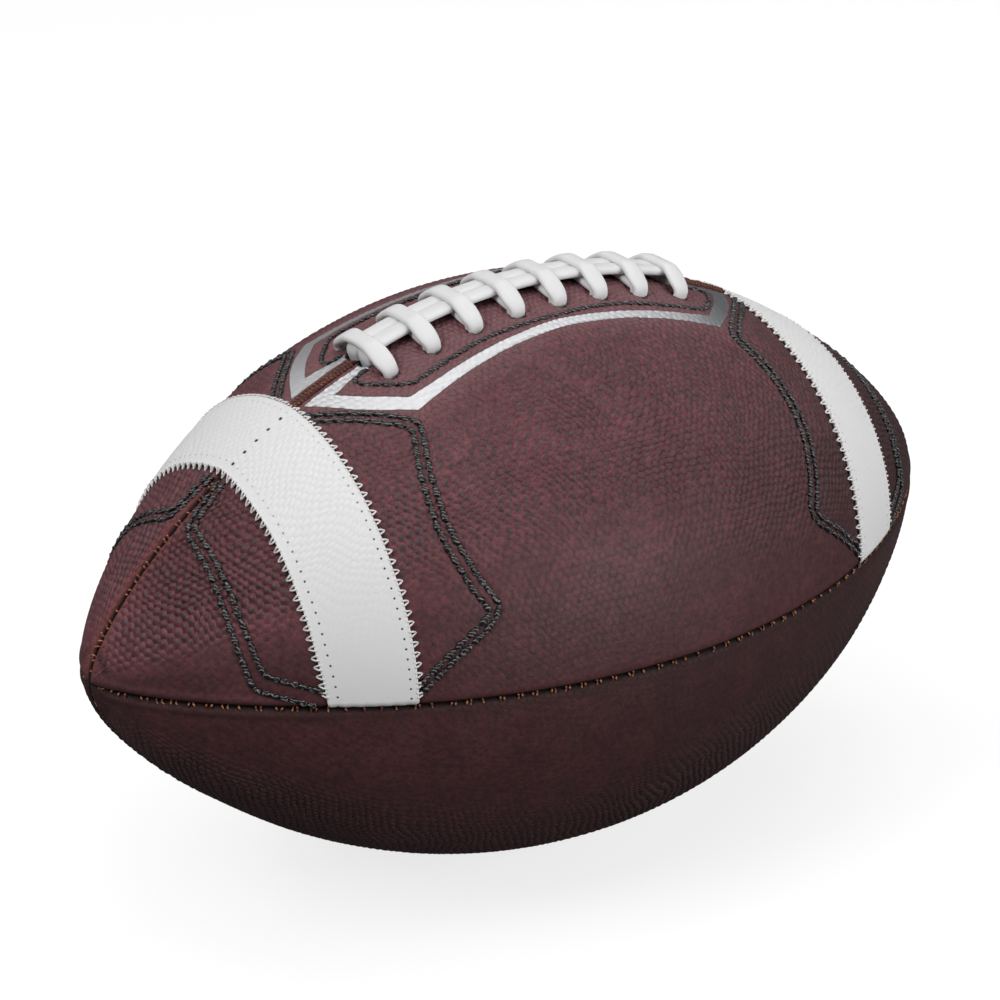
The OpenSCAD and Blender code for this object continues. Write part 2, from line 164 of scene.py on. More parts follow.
# %% [markdown]
# Floor, background and light. The ball lies on a plain pale floor in soft studio light. Six
# square lamps stand round it: a wide one above, one before the front nose, two beyond the
# rear nose, a weak one behind, and one beside the camera that lights the near side.
# To the camera the floor is almost white, more so far off where the lamps no longer reach,
# and it still takes the ball's shadow. More lamps would also whiten it, but they would bleach
# the ball. So the whiteness is given almost only to what the camera sees, and the light that
# the floor throws back on the ball is kept low, as if the table were far away. That way the
# underside stays dark as in the picture.

# %% Floor
floor_half = 6.0
floor_gap = 0.3
glossy_weight = 0.06


def shown_share(net):
    """1 to the camera and through glass, a little in reflections, and 0 for light on the ball."""
    rays = add_node(net, "ShaderNodeLightPath").outputs
    direct = calc(net, "MAXIMUM", rays["Is Camera Ray"], rays["Is Transmission Ray"])
    return calc(net, "MAXIMUM", times(net, rays["Is Glossy Ray"], glossy_weight), direct)


floor_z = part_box("panel_bottom_right")[0].z
floor_sheet = bmesh.new()
bmesh.ops.create_grid(floor_sheet, x_segments=1, y_segments=1, size=floor_half)
bmesh.ops.translate(floor_sheet, verts=floor_sheet.verts, vec=(0, 0, floor_z - floor_gap * MM))
floor_mesh = bpy.data.meshes.new("floor")
floor_sheet.to_mesh(floor_mesh)
floor_sheet.free()
floor = bpy.data.objects.new("floor", floor_mesh)
scene.collection.objects.link(floor)

paper, net, paper_shader = new_material("studio_paper", Roughness=0.9)
seen = shown_share(net)
place = object_place(net)
paper_grain = smooth_range(net, noise(net, place, 900), 0.3, 0.7, 0.98, 1.0)
paper_tone = times(net, paper_grain, smooth_range(net, seen, 0, 1, 0.10, 0.32))
grey = add_node(net, "ShaderNodeCombineColor", {0: paper_tone, 1: paper_tone, 2: paper_tone})
finish_shader(net, paper_shader, grey.outputs[0])
far = add_node(net, "ShaderNodeVectorMath", {0: place}, operation="LENGTH").outputs["Value"]
whiteness = times(net, seen, smooth_range(net, far, 0.8, 3.0, 0.77, 1.0))
glow = add_node(net, "ShaderNodeEmission", {"Color": (1, 1, 1, 1), "Strength": whiteness})
both = add_node(net, "ShaderNodeAddShader", {0: paper_shader.outputs[0], 1: glow.outputs[0]})
net.links.new(both.outputs[0], net.nodes["Material Output"].inputs["Surface"])
floor_mesh.materials.append(paper)
print("floor at", round(floor_z / MM, 1), "mm")

# %% [markdown]
# The world gives a weak even light and looks white behind the ball. The lamps are square
# areas, because a large lamp gives the soft edges of a photographer's tent. Point lamps would
# be quicker to render, but each would leave a hard bright spot on the leather.

# %% World and lamps
world = bpy.data.worlds.new("studio")
world.use_nodes = True
scene.world = world
net = world.node_tree
net.links.new(mix_colour(net, shown_share(net), (0.06, 0.06, 0.062), (1, 1, 1)),
              net.nodes["Background"].inputs["Color"])


def soft_lamp(name, place, size, watts):
    """A square lamp that points at the middle of the ball."""
    data = bpy.data.lights.new(name, "AREA")
    data.size = size
    data.energy = watts
    made = bpy.data.objects.new(name, data)
    scene.collection.objects.link(made)
    made.location = place
    made.rotation_mode = "QUATERNION"
    made.rotation_quaternion = (-Vector(place)).to_track_quat("-Z", "Y")


soft_lamp("lamp_above", (0.0, -0.2, 1.44), 1.4, 8.6)
soft_lamp("lamp_front", (-1.1, 0.0, 0.93), 0.7, 8.8)
soft_lamp("lamp_rear", (0.7, 0.5, 1.15), 0.9, 3.0)
soft_lamp("lamp_low", (1.25, -0.35, 0.6), 0.7, 2.6)
soft_lamp("lamp_behind", (-0.32, 0.88, 1.11), 0.7, 2.6)
soft_lamp("lamp_fill", (0.36, -1.35, 0.375), 0.9, 11.2)
scene.view_settings.view_transform = "Standard"

# %% [markdown]
# The shape of the ball. Its outline is an ellipse that is drawn to a point at the noses and
# a little fuller at the flanks, the same curve as in the CAD, and the leather is drawn in by
# a fraction of a millimetre between each stripe and its nose. All work below is in
# millimetres. A place over the leather is given by x along the ball, s across it from the
# top seam, and a height above it. A curve object or a revolved profile would also give the
# body, but the stripes, threads and lace all need to know where the leather is, so the
# outline is a small function that every later piece asks.

# %% Outline
half_length = 144.0
half_width = 84.2
nose_share = 0.72
flank_share = 0.24
hollow_depth = 0.7
hollow_x = 108
hollow_reach = 13
ball_ends = (("front", -1), ("rear", 1))


def ramp(value, start, length):
    """0 up to a start, 1 beyond start + length, and even in between."""
    return np.clip((value - start) / length, 0, 1)


def bell(off, reach):
    """A soft bell that is 1 in its middle."""
    return np.exp(-(off / reach) ** 2)


def outline_radius(x):
    x = np.asarray(x, float)
    u = np.clip(x / half_length, -1, 1) ** 2
    hollow = hollow_depth * bell(np.abs(x) - hollow_x, hollow_reach)
    return half_width * np.sqrt((1 - u) * (1 - nose_share * u) * (1 + flank_share * u)) - hollow * (1 - u)


def outline_normal(x):
    """The outward direction at x, as its parts along the ball and away from the axis."""
    u = np.asarray(x, float) / half_length
    a, b, w = 1 - u * u, 1 - nose_share * u * u, 1 + flank_share * u * u
    fall = 2 * u * (a * b * flank_share - a * w * nose_share - b * w)
    along = -half_width ** 2 * fall / (2 * half_length)
    away = np.maximum(outline_radius(x), 1e-6)
    size = np.hypot(along, away)
    return along / size, away / size


def over_angle(x, angle, height):
    """Points over the leather at an angle round the axis from the top, in millimetres."""
    along, away = outline_normal(x)
    r = outline_radius(x) + height * away
    return np.stack([x + height * along, r * np.sin(angle), r * np.cos(angle)], -1)


def over_leather(x, s, height):
    return over_angle(x, np.asarray(s, float) / np.maximum(outline_radius(x), 1e-6), height)


# Closely spaced x, closest at the noses, and the length of the outline up to each of them
fine_x = half_length * np.cos(np.linspace(math.pi, 0, 20001))
fine_way = np.concatenate([[0], np.cumsum(np.hypot(np.diff(fine_x), np.diff(outline_radius(fine_x))))])
fine_way -= fine_way[-1] / 2
print("outline from nose to nose:", round(2 * fine_way[-1], 1), "mm")

# %% [markdown]
# One helper makes every curved sheet or tube. It starts from Blender's grid, whose columns
# and rows are then carried to their places on the ball by a function. Where the first and
# last column meet they are merged, open ends are filled, and the normals are made to point
# outwards. That is quicker and tidier than writing vertices and faces by hand.

# %% Sheet helper
def link_piece(mesh, material, replaced=()):
    """Makes a mesh a piece of the ball that rides on the frame."""
    piece = bpy.data.objects.new(mesh.name, mesh)
    scene.collection.objects.link(piece)
    mesh.materials.clear()
    mesh.materials.append(material)
    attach(piece, "root")
    if replaced:
        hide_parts(*replaced)
    return piece


def mesh_points(mesh):
    """The points of a mesh in Blender's own unit."""
    points = np.zeros(len(mesh.vertices) * 3, np.float32)
    mesh.vertices.foreach_get("co", points)
    return points.reshape(-1, 3)


def grid_cells(flat, columns, rows):
    """Column and row of each point of Blender's grid, which reaches from -1 to 1."""
    return [np.rint((flat[:, k] + 1) / 2 * number).astype(int) for k, number in ((0, columns), (1, rows))]


def place_points(mesh, points):
    """Moves the points of a mesh to places in millimetres."""
    mesh.vertices.foreach_set("co", (points * MM).astype(np.float32).ravel())


def store(mesh, name, values, kind="FLOAT"):
    """Keeps a number or a vector for each point, for the materials to read."""
    layer = mesh.attributes.new(name, kind, "POINT")
    layer.data.foreach_set("value" if kind == "FLOAT" else "vector",
                           np.asarray(values, np.float32).ravel())


def close_up(sheet, mesh, weld):
    """Merges edges that meet, fills open ends, and turns the normals outwards."""
    sheet.clear()
    sheet.from_mesh(mesh)
    bmesh.ops.remove_doubles(sheet, verts=sheet.verts, dist=weld)
    bmesh.ops.holes_fill(sheet, edges=[e for e in sheet.edges if e.is_boundary], sides=0)
    bmesh.ops.recalc_face_normals(sheet, faces=sheet.faces)
    for face in sheet.faces:
        face.smooth = True
    sheet.to_mesh(mesh)
    sheet.free()
    return mesh


def sheet_mesh(name, columns, rows, place, weld=2e-6, mark=None):
    """A grid of columns x rows cells whose points place(column, row) puts on the ball."""
    sheet = bmesh.new()
    bmesh.ops.create_grid(sheet, x_segments=columns, y_segments=rows, size=1)
    mesh = bpy.data.meshes.new(name)
    sheet.to_mesh(mesh)
    column, row = grid_cells(mesh_points(mesh), columns, rows)
    place_points(mesh, place(column, row))
    if mark:
        store(mesh, mark[0], mark[1](column, row), "FLOAT_VECTOR")
    return close_up(sheet, mesh, weld)


print("sheet helpers are ready")

# %% [markdown]
# Sewing lines. Rows of thick black thread run round the stripes, doubled, and one row runs
# round the lacing inside a printed pale band. The lines are given by a few corners on the
# near panel, and the same lines are mirrored to the other panel and to the other end. A
# corner list is the plainest way to write down such a line.

# %% Lines on the leather
inner_double = np.array([
    (-77.6, 6.2), (-75.8, 8.4), (-72.0, 13.2), (-64.0, 22.8), (-57.7, 30.7), (-56.2, 33.3), (-56.3, 35.7),
    (-58.4, 41.1), (-60.6, 47.4), (-61.7, 54.0), (-62.5, 61.1), (-61.9, 69.2), (-60.5, 75.2), (-59.1, 81.4),
    (-57.2, 86.5), (-55.4, 91.6), (-58.2, 93.7), (-63.1, 94.7), (-67.7, 95.4), (-71.8, 96.3), (-77.6, 97.8)])
outer_double = np.array([
    (-100.4, 2.6), (-105.2, 3.6), (-110.0, 4.2), (-113.3, 6.0), (-114.2, 13.5), (-114.9, 23.2),
    (-115.3, 30.2), (-115.6, 37.1), (-115.3, 43.7), (-114.6, 50.7), (-113.6, 56.4), (-110.0, 62.7),
    (-105.3, 69.9), (-100.4, 77.4)])
lace_line = np.array([
    (-54.3, 6.5), (-57.9, 6.5), (-59.7, 7.2), (-59.4, 9.8), (-57.3, 12.9), (-53.8, 16.8), (-51.1, 19.5),
    (-48.7, 21.3), (-45.1, 21.0), (-36.7, 20.3), (-30.5, 19.5), (-21.0, 18.6), (-10.7, 18.8), (0.0, 19.0),
    (10.7, 18.8), (21.0, 18.6), (30.5, 19.5), (36.7, 20.3), (46.0, 21.4), (53.0, 21.6), (56.6, 18.8),
    (61.0, 13.2), (63.2, 9.2), (62.6, 7.2), (58.0, 6.6)])
outside_half = [(-73.7, 3.1), (-69.4, 10.9), (-65.7, 16.7), (-60.6, 22.7), (-52.6, 30.1), (-44.8, 29.0),
                (-36.0, 27.7), (-20.0, 25.8)]
inside_half = [(-53.0, 6.3), (-58.7, 5.9), (-62.4, 6.9), (-66.4, 7.6), (-63.1, 12.7), (-59.9, 16.9),
               (-52.2, 24.9), (-44.0, 24.7), (-36.0, 23.9), (-20.0, 22.4)]
band_outside = np.array(outside_half + [(0.0, 24.6)] + [(-x, s) for x, s in outside_half[::-1]])
band_inside = np.array([(-50.0, -5.0), (-50.0, 3.0)] + inside_half + [(0.0, 20.9)]
                       + [(-x, s) for x, s in inside_half[::-1]] + [(50.0, 3.0), (50.0, -5.0)])


line_step = 0.5
corner_reach = 1.5


def unit(v):
    return v / np.linalg.norm(v, axis=-1, keepdims=True)


def way_along(points):
    """Length along a line up to each of its points."""
    return np.concatenate([[0], np.cumsum(np.linalg.norm(np.diff(points, axis=0), axis=1))])


def rounded_line(line):
    """A line with closely spaced points and its corners rounded."""
    way = way_along(line)
    close = np.linspace(0, way[-1], int(way[-1] / line_step) + 1)
    dense = np.stack([np.interp(close, way, line[:, k]) for k in (0, 1)], 1)
    half = int(corner_reach / line_step)
    before = 2 * dense[:1] - dense[half:0:-1]
    after = 2 * dense[-1:] - dense[-2:-half - 2:-1]
    padded = np.concatenate([before, dense, after])
    window = np.ones(2 * half + 1) / (2 * half + 1)
    return np.stack([np.convolve(padded[:, k], window, "valid") for k in (0, 1)], 1)


def moved_line(line, offset):
    """A line set off sideways by a distance, with sharp corners."""
    step = unit(np.diff(line, axis=0))
    side = np.stack([-step[:, 1], step[:, 0]], 1)
    first, last = side[:1], side[-1:]
    mean = np.concatenate([first, (side[:-1] + side[1:]) / 2, last])
    return line + np.reshape(offset, (-1, 1)) * mean / (mean * mean).sum(1)[:, None]


def line_distance(x, s, line):
    """Distance of each point from a line, in millimetres."""
    best = np.full(x.shape, 1e3)
    for (x0, s0), (x1, s1) in zip(line[:-1], line[1:]):
        dx, ds = x1 - x0, s1 - s0
        t = np.clip(((x - x0) * dx + (s - s0) * ds) / (dx * dx + ds * ds), 0, 1)
        best = np.minimum(best, np.hypot(x - x0 - t * dx, s - s0 - t * ds))
    return best


def signed_distance(x, s, corners):
    """Distance from the border of a closed shape, below zero inside it."""
    closed = np.concatenate([corners, corners[:1]])
    inside = np.zeros(x.shape, bool)
    for (x0, s0), (x1, s1) in zip(closed[:-1], closed[1:]):
        if s0 != s1:
            inside ^= ((s0 > s) != (s1 > s)) & (x < x0 + (s - s0) * (x1 - x0) / (s1 - s0))
    return np.where(inside, -1, 1) * line_distance(x, s, closed)


def double_rows(line):
    """Two rows beside a line, a little closer together at its start."""
    middle = rounded_line(line)
    way = line_step * np.arange(len(middle))
    apart = 2.3 + 0.4 * ramp(way, 30, 8)
    return [moved_line(middle, side * apart / 2) for side in (1, -1)]


stitch_lines = double_rows(inner_double) + double_rows(outer_double)
lace_line = rounded_line(lace_line)
print("sewing lines on a quarter:", len(stitch_lines))

# %% [markdown]
# The edges of the stripes. A strip that lies round the ball isn't quite square to its axis, so
# each edge has a few places between the top seam and the side seam, and they are read off
# in between.

# %% Stripe edges
edge_share = (0, 0.2, 0.4, 0.6, 0.8, 0.9, 1.0)
stripe_inside = (75.9, 76.6, 77.2, 77.8, 77.7, 77.7, 77.7)
stripe_outside = (98.6, 99.8, 100.3, 100.7, 100.4, 99.7, 98.9)


def stripe_edges(angle):
    share = np.abs(angle) / (math.pi / 2)
    return np.interp(share, edge_share, stripe_inside), np.interp(share, edge_share, stripe_outside)


print("stripe edges at the top:", [round(float(edge), 1) for edge in stripe_edges(0.0)], "mm")

# %% [markdown]
# The pebbles of the leather. Embossed hide is covered in small round domes in wavy rows.
# They could be painted in, sculpted by hand, or raised by a pattern. Here two sets of points,
# each set off by half a step, make rows of domes like the cells of a comb, and slow noise
# bends the rows. The same net of nodes is used twice: once to raise the mesh, and once in
# the material to darken the tops and redden the valleys between them. The pattern runs on a
# flat copy of each panel, so the domes stay round on the curve.

# %% Pebble pattern
pebble_pitch = 2.4
row_ratio = math.sqrt(3)
pebble_reach = 0.275
pebble_fullness = 0.8
pebble_zero = 0.6


def pebble_height(tree, flat):
    """Height of the pebbles from 0 in the valleys to 1 on the domes, and a slow tone."""
    wavy = flat
    for scale, reach in ((0.035, 10.0), (0.28, 1.3)):
        wander = add_node(tree, "ShaderNodeTexNoise", {"Vector": flat, "Scale": scale, "Detail": 1.0})
        shift = vector_calc(tree, "SUBTRACT", wander.outputs["Color"], (0.5, 0.5, 0.5))
        wavy = vector_calc(tree, "ADD", wavy, vector_calc(tree, "MULTIPLY", shift, (reach, reach, 0.0)))
    axes = add_node(tree, "ShaderNodeSeparateXYZ", {0: wavy}).outputs
    lanes = [calc(tree, "DIVIDE", axes[0], pebble_pitch),
             calc(tree, "DIVIDE", axes[1], pebble_pitch * row_ratio)]
    squares = []
    for half in (0.0, 0.5):
        off = [calc(tree, "WRAP", plus(tree, lane, half), 0.5, -0.5) for lane in lanes]
        across = times(tree, off[1], row_ratio)
        squares.append(plus(tree, times(tree, off[0], off[0]), times(tree, across, across)))
    nearest = calc(tree, "MINIMUM", squares[0], squares[1])
    cap = calc(tree, "SUBTRACT", 1.0, calc(tree, "DIVIDE", nearest, pebble_reach), clamp=True)
    return calc(tree, "POWER", cap, pebble_fullness), noise(tree, wavy, 0.42, 1.0)


print("pebbles:", pebble_pitch, "mm apart in rows", round(pebble_pitch * row_ratio / 2, 2), "mm apart")

# %% [markdown]
# To raise the pebbles in the mesh, the points are moved along their normals by a net of
# geometry nodes. A displacement in the material would only be seen in the render, while this
# way the domes are in the mesh itself.

# %% Raising a surface
def raise_surface(piece, build_height):
    """Moves the points of a piece along their normals by what a net of nodes gives, in millimetres."""
    tree = bpy.data.node_groups.new(piece.name + "_relief", "GeometryNodeTree")
    tree.interface.new_socket("Geometry", in_out="INPUT", socket_type="NodeSocketGeometry")
    tree.interface.new_socket("Geometry", in_out="OUTPUT", socket_type="NodeSocketGeometry")
    source = add_node(tree, "NodeGroupInput")
    height = times(tree, build_height(tree), MM)
    offset = add_node(tree, "ShaderNodeVectorMath", {0: add_node(tree, "GeometryNodeInputNormal").outputs[0],
                                                     "Scale": height}, operation="SCALE").outputs[0]
    moved = add_node(tree, "GeometryNodeSetPosition", {"Geometry": source.outputs[0], "Offset": offset})
    add_node(tree, "NodeGroupOutput", {0: moved.outputs[0]})
    modifier = piece.modifiers.new("relief", "NODES")
    modifier.node_group = tree
    apply_modifiers(piece)
    bpy.data.node_groups.remove(tree)


def apply_modifiers(piece):
    bpy.context.view_layer.update()
    seen = piece.evaluated_get(bpy.context.evaluated_depsgraph_get())
    made = bpy.data.meshes.new_from_object(seen, preserve_all_data_layers=True,
                                           depsgraph=bpy.context.evaluated_depsgraph_get())
    old = piece.data
    piece.modifiers.clear()
    piece.data = made
    made.name = old.name
    bpy.data.meshes.remove(old)


def stored(tree, name, kind="FLOAT"):
    """What store kept at each point, for the nodes that move a mesh."""
    return add_node(tree, "GeometryNodeInputNamedAttribute", {"Name": name},
                    data_type=kind).outputs["Attribute"]


def relief(tree, dome, height):
    """The domes at a height in millimetres where the grain is full, and lower where it fades."""
    return times(tree, calc(tree, "SUBTRACT", dome, pebble_zero), times(tree, stored(tree, "grain"), height))


print("relief helpers are ready")

# %% [markdown]
# The hide. Its colour is a dark wine brown. Light from above catches the domes in a dull
# pinkish grey, and the valleys keep the red of the dye. Fine flecks, streaks and patches lie
# over both. A picture of leather could be wrapped round the ball, but it would stretch at the
# noses, so all tones come from noise at the place of each point. What depends on the place
# on the panel is kept as a number with each point: how full the pebbles stand (grain), how
# far the nearest seam or stripe edge is (seam), which also lays a painted shade in the seam
# grooves and beside the stripes, and how much the leather is handled (scuff). Two more numbers
# carry painted light: a painted sheen that lightens the leather round the lacing, and a
# painted shade that darkens it on the underside, towards the side seams and the rear nose,
# and on the shoulders of the seams.

# %% Hide colours
hide, net, hide_shader = new_material("hide", Specular_IOR_Level=0.37)
flat = read_attribute(net, "flat", "Vector")
grain = read_attribute(net, "grain")
seam = read_attribute(net, "seam")
place = object_place(net)
dome, cell_tone = pebble_height(net, flat)
shown = smooth_range(net, grain, 0.05, 0.6)
soft_dome = plus(net, 0.5, times(net, calc(net, "SUBTRACT", dome, 0.5), shown))
cloud = noise(net, place, 26, 3)
streak = noise(net, place, 420, 3, 0.65)
fleck = noise(net, place, 820, 2, 0.6)
patch = smooth_range(net, noise(net, place, 110, 2), 0.42, 0.62)
blush = smooth_range(net, noise(net, place, 75, 4, 0.6), 0.45, 0.65, 0.0, 0.35)
rubbing = smooth_range(net, noise(net, place, 330, 3, 0.6), 0.35, 0.6, 0.5, 1.2)
valley = mix_colour(net, patch, (0.182, 0.053, 0.064), (0.250, 0.070, 0.084))
top_tone = mix_colour(net, cloud, (0.055, 0.038, 0.041), (0.090, 0.055, 0.059))
skin = mix_colour(net, smooth_range(net, soft_dome, 0.28, 0.95), valley, top_tone)
layers = (
    # Pale streaks, then red flecks and dark ones
    (times(net, smooth_range(net, streak, 0.40, 0.75), 0.22), (0.180, 0.085, 0.088)),
    (smooth_range(net, fleck, 0.50, 0.66, 0.0, 0.55), (0.215, 0.052, 0.062)),
    (smooth_range(net, fleck, 0.34, 0.48, 0.45, 0.0), (0.034, 0.020, 0.023)),
    # Redder patches, and groups of darker pebbles
    (blush, (0.120, 0.027, 0.034)),
    (smooth_range(net, cell_tone, 0.35, 0.65, 0.35, 0.0), (0.026, 0.012, 0.013)),
    # The handled edges, and a painted sheen that lightens the leather round the lacing
    (times(net, read_attribute(net, "scuff"), rubbing), (0.200, 0.052, 0.050)),
    (read_attribute(net, "painted_sheen"), (0.250, 0.120, 0.130)))
for share, colour in layers:
    skin = mix_colour(net, share, skin, colour)
# Painted shade: the leather is drawn towards near black on the underside, towards the rear nose and the side
# seams, and on the seam shoulders
skin = mix_colour(net, read_attribute(net, "painted_shade"), (0.010, 0.002, 0.002), skin)
# Painted shade in the deepest valleys between the domes
painted_pit_shade = smooth_range(net, dome, 0.0, 0.18, 0.40, 0.0)
skin = mix_colour(net, times(net, painted_pit_shade, shown), skin, (0.030, 0.008, 0.010))
# Painted shade in the seam grooves and beside the stripe edges
skin = mix_colour(net, smooth_range(net, seam, 0.3, 1.5), (0.012, 0.005, 0.005), skin)
print("layers of colour on the hide:", len(layers))

# %% [markdown]
# The band round the lacing is printed on the leather with a metallic foil, so it is part of
# the same material and not a piece of its own. Each point knows its distance from the band's
# edges (band): inside them the foil is painted, with a thin dark line around it. A second
# number says how bright the foil is: a painted reflection that darkens the foil towards the
# rear end of the band and on the far side. The printing also fills the pores, so the band is
# smoother than the leather beside it.

# %% Printed band and surface of the hide
foil_metallic = 0.82
band = read_attribute(net, "band")
ink = smooth_range(net, band, -0.14, 0.14, 1.0, 0.0)
rim = smooth_range(net, calc(net, "ABSOLUTE", band), 0.15, 0.5, 1.0, 0.0)
silver = mix_colour(net, noise(net, place, 900, 2), (0.62, 0.62, 0.64), (0.76, 0.76, 0.77))
# Painted reflection: the foil turns dark where its brightness number is low
silver = mix_colour(net, read_attribute(net, "painted_foil_reflection"), (0.05, 0.055, 0.065), silver)
skin = mix_colour(net, times(net, rim, 0.6), skin, (0.03, 0.022, 0.024))
skin = mix_colour(net, ink, skin, silver)
rough = plus(net, smooth_range(net, dome, 0, 1, 0.62, 0.46), times(net, streak, 0.08))
rough = plus(net, rough, smooth_range(net, seam, 1.0, 4.0, 0.22, 0.0))
rough = plus(net, rough, times(net, ink, calc(net, "SUBTRACT", 0.46, rough)))
net.links.new(times(net, ink, foil_metallic), hide_shader.inputs["Metallic"])
pores = noise(net, place, 1500, 3, 0.6)
fine = plus(net, times(net, dome, grain), times(net, pores, 0.16))
finish_shader(net, hide_shader, skin, rough, fine, strength=1.0, distance=0.75)
print("hide material:", len(net.nodes), "nodes")

# %% [markdown]
# The four leather panels. A real ball is cut from four pointed ovals that are sewn inside
# out, so every seam is a pair of edges turned inwards over a soft shoulder. Each panel here
# is one closed tube of sections: across the outside, in along the fold, back across the
# inside, and out again. Where the leather is sewn or laced it is pulled in a little.

# %% Panel section
leather_t = 2.5
seam_gap = 0.2
seam_round = 2.2
fold_round = 0.8
seam_fold = 6.0
nose_w = 22.0
nose_hole_r = 0.5
slit_end_x = 56.75
lace_hole_d = 6.0
outer_steps = 156
turn_steps = 5
inner_steps = 8
panel_rows = 500


def lace_fold(x):
    """Depth of the fold at the lace seam, which ends behind the leather along the slit."""
    past = ramp(np.abs(x), slit_end_x + lace_hole_d, 2 * seam_fold)
    return past * seam_fold + (1 - past) * (leather_t + fold_round + 0.15)


def shoulder_sizes(x, inner):
    """Depth of a face, its distance from the seam plane, and the radius of its shoulder."""
    draw = np.minimum(1, 2 * outline_radius(x) / nose_w)
    if inner:
        return leather_t, seam_gap / 2 + leather_t * draw, fold_round * draw
    return 0.0, seam_gap / 2, seam_round * draw


def shoulder_point(way, x, fold, inner):
    """Distance from the seam plane and depth, for a way along a panel's section from its fold."""
    top, face, round_r = shoulder_sizes(x, inner)
    drop = np.maximum(fold - top - round_r, 0.05)
    share = ramp(way, drop, np.maximum(round_r * math.pi / 2, 1e-9))
    bend = share * math.pi / 2
    off = face + round_r * (1 - np.cos(bend))
    depth = np.where(way < drop, fold - way, top + round_r * (1 - np.sin(bend)))
    return off, depth


def panel_point(share, x, laced, inner):
    """A point of a panel's outer or inner face: share 0 at the lace seam, 1 at the side seam."""
    r = outline_radius(x)
    top, face, round_r = shoulder_sizes(x, inner)
    folds = [lace_fold(x) if laced else np.full(x.shape, seam_fold), np.full(x.shape, seam_fold)]
    turned = [np.maximum(f - top - round_r, 0.05) + round_r * math.pi / 2 for f in folds]
    along, away = outline_normal(x)
    shell = np.maximum(r - top * away, 0.05)
    corner = np.arcsin(np.clip((face + round_r) / shell, 0, 0.7))
    arc = shell * (math.pi / 2 - 2 * corner)
    total = turned[0] + arc + turned[1]
    way = share * total
    near_top = way < turned[0]
    near_side = way > turned[0] + arc
    off_a, depth_a = shoulder_point(np.minimum(way, turned[0]), x, folds[0], inner)
    off_b, depth_b = shoulder_point(np.minimum(total - way, turned[1]), x, folds[1], inner)
    depth = np.where(near_top, depth_a, np.where(near_side, depth_b, top))
    radius = np.maximum(r - depth * away, 0.0)
    px = x - depth * along
    angle = corner + (way - turned[0]) / shell
    side = np.where(near_top, off_a, np.where(near_side, np.sqrt(np.maximum(radius ** 2 - off_b ** 2, 0)),
                                              radius * np.sin(angle)))
    up = np.where(near_top, np.sqrt(np.maximum(radius ** 2 - off_a ** 2, 0)),
                  np.where(near_side, off_b, radius * np.cos(angle)))
    return np.stack([px, side, up], -1)


def stations_x(rows, end_r=nose_hole_r):
    """x at equal steps along the outline, from where the nose has the radius end_r."""
    rising = outline_radius(fine_x[:10001])
    first = np.interp(end_r, rising, fine_way[:10001])
    return np.interp(np.linspace(first, -first, rows + 1), fine_way, fine_x)


x_rows = stations_x(panel_rows)
print("a panel has", panel_rows, "rows and ends at", round(float(x_rows[-1]), 2), "mm")

# %% [markdown]
# The pebbles keep their size only where the pattern isn't stretched, so each point needs a
# place on a flat copy of its panel. For that the foot of the point on the panel's middle line
# is found in small steps. Blender can unwrap a mesh too, but this way the copy is the same
# however fine the mesh is.

# %% Flat copy of a panel
near_nose = 143.9


def flat_map(x, angle):
    """Where a point lies on the flattened panel: along its middle line, and across it."""
    r = outline_radius(x)
    across, toward = r * np.sin(angle), r * np.cos(angle)
    foot = np.array(x, float)
    for _ in range(24):
        along, away = outline_normal(foot)
        slope = -along / np.maximum(away, 0.2)
        wanted = x - slope * (outline_radius(foot) - toward)
        foot = np.clip(0.6 * foot + 0.4 * wanted, -near_nose, near_nose)
    along, away = outline_normal(foot)
    ball_r = np.maximum(outline_radius(foot) / np.maximum(away, 0.2), 1.0)
    v = ball_r * np.arcsin(np.clip(across / ball_r, -1, 1))
    return np.interp(foot, fine_x, fine_way), v


flat_seam = flat_map(np.zeros(1), np.array([math.pi / 4]))[1]
print("from the middle line to a seam on the flat copy:", round(float(flat_seam[0]), 1), "mm")

# %% [markdown]
# One panel is a grid whose columns run round its section and whose rows run from nose to
# nose. Half of it, mirrored by a modifier, would be lighter, but the ball isn't the same at
# both ends, and here a mirror is only a sign before y or z.

# %% Panel builder
turn_share = 0.06


def panel_mesh(name, laced, mirror_y, mirror_z):
    outer_share = np.linspace(0, 1, outer_steps + 1)
    inner_share = np.concatenate([np.linspace(0, turn_share, turn_steps + 1)[:-1],
                                  np.linspace(turn_share, 1 - turn_share, inner_steps + 1),
                                  np.linspace(1 - turn_share, 1, turn_steps + 1)[1:]])[::-1]
    shares = np.concatenate([outer_share, inner_share, outer_share[:1]])
    is_inner = np.concatenate([np.zeros(outer_steps + 1, bool), np.ones(len(inner_share), bool), [False]])

    def place(column, row):
        outside, inside = (panel_point(shares[column], x_rows[row], laced, inner) for inner in (False, True))
        return np.where(is_inner[column][:, None], inside, outside) * (1, mirror_y, mirror_z)

    return sheet_mesh(name, len(shares) - 1, panel_rows, place, weld=1e-7)


print("a panel is", outer_steps, "cells wide on its outside and", inner_steps + 2 * turn_steps, "inside")

# %% [markdown]
# Each point of a panel is marked with the numbers that the pebbles and the hide read. The
# marks could be painted by hand, but the pull of a stitch or a hole has to lie exactly under
# it, so they are worked out from the same sewing lines and lace holes.

# %% Panel marks
lace_pairs = 8
lace_pitch = 14.5
hole_s = 12.5
far_off = 50.0
pull_reach = 1.1


def bar_x(i):
    return (i - (lace_pairs - 1) / 2) * lace_pitch


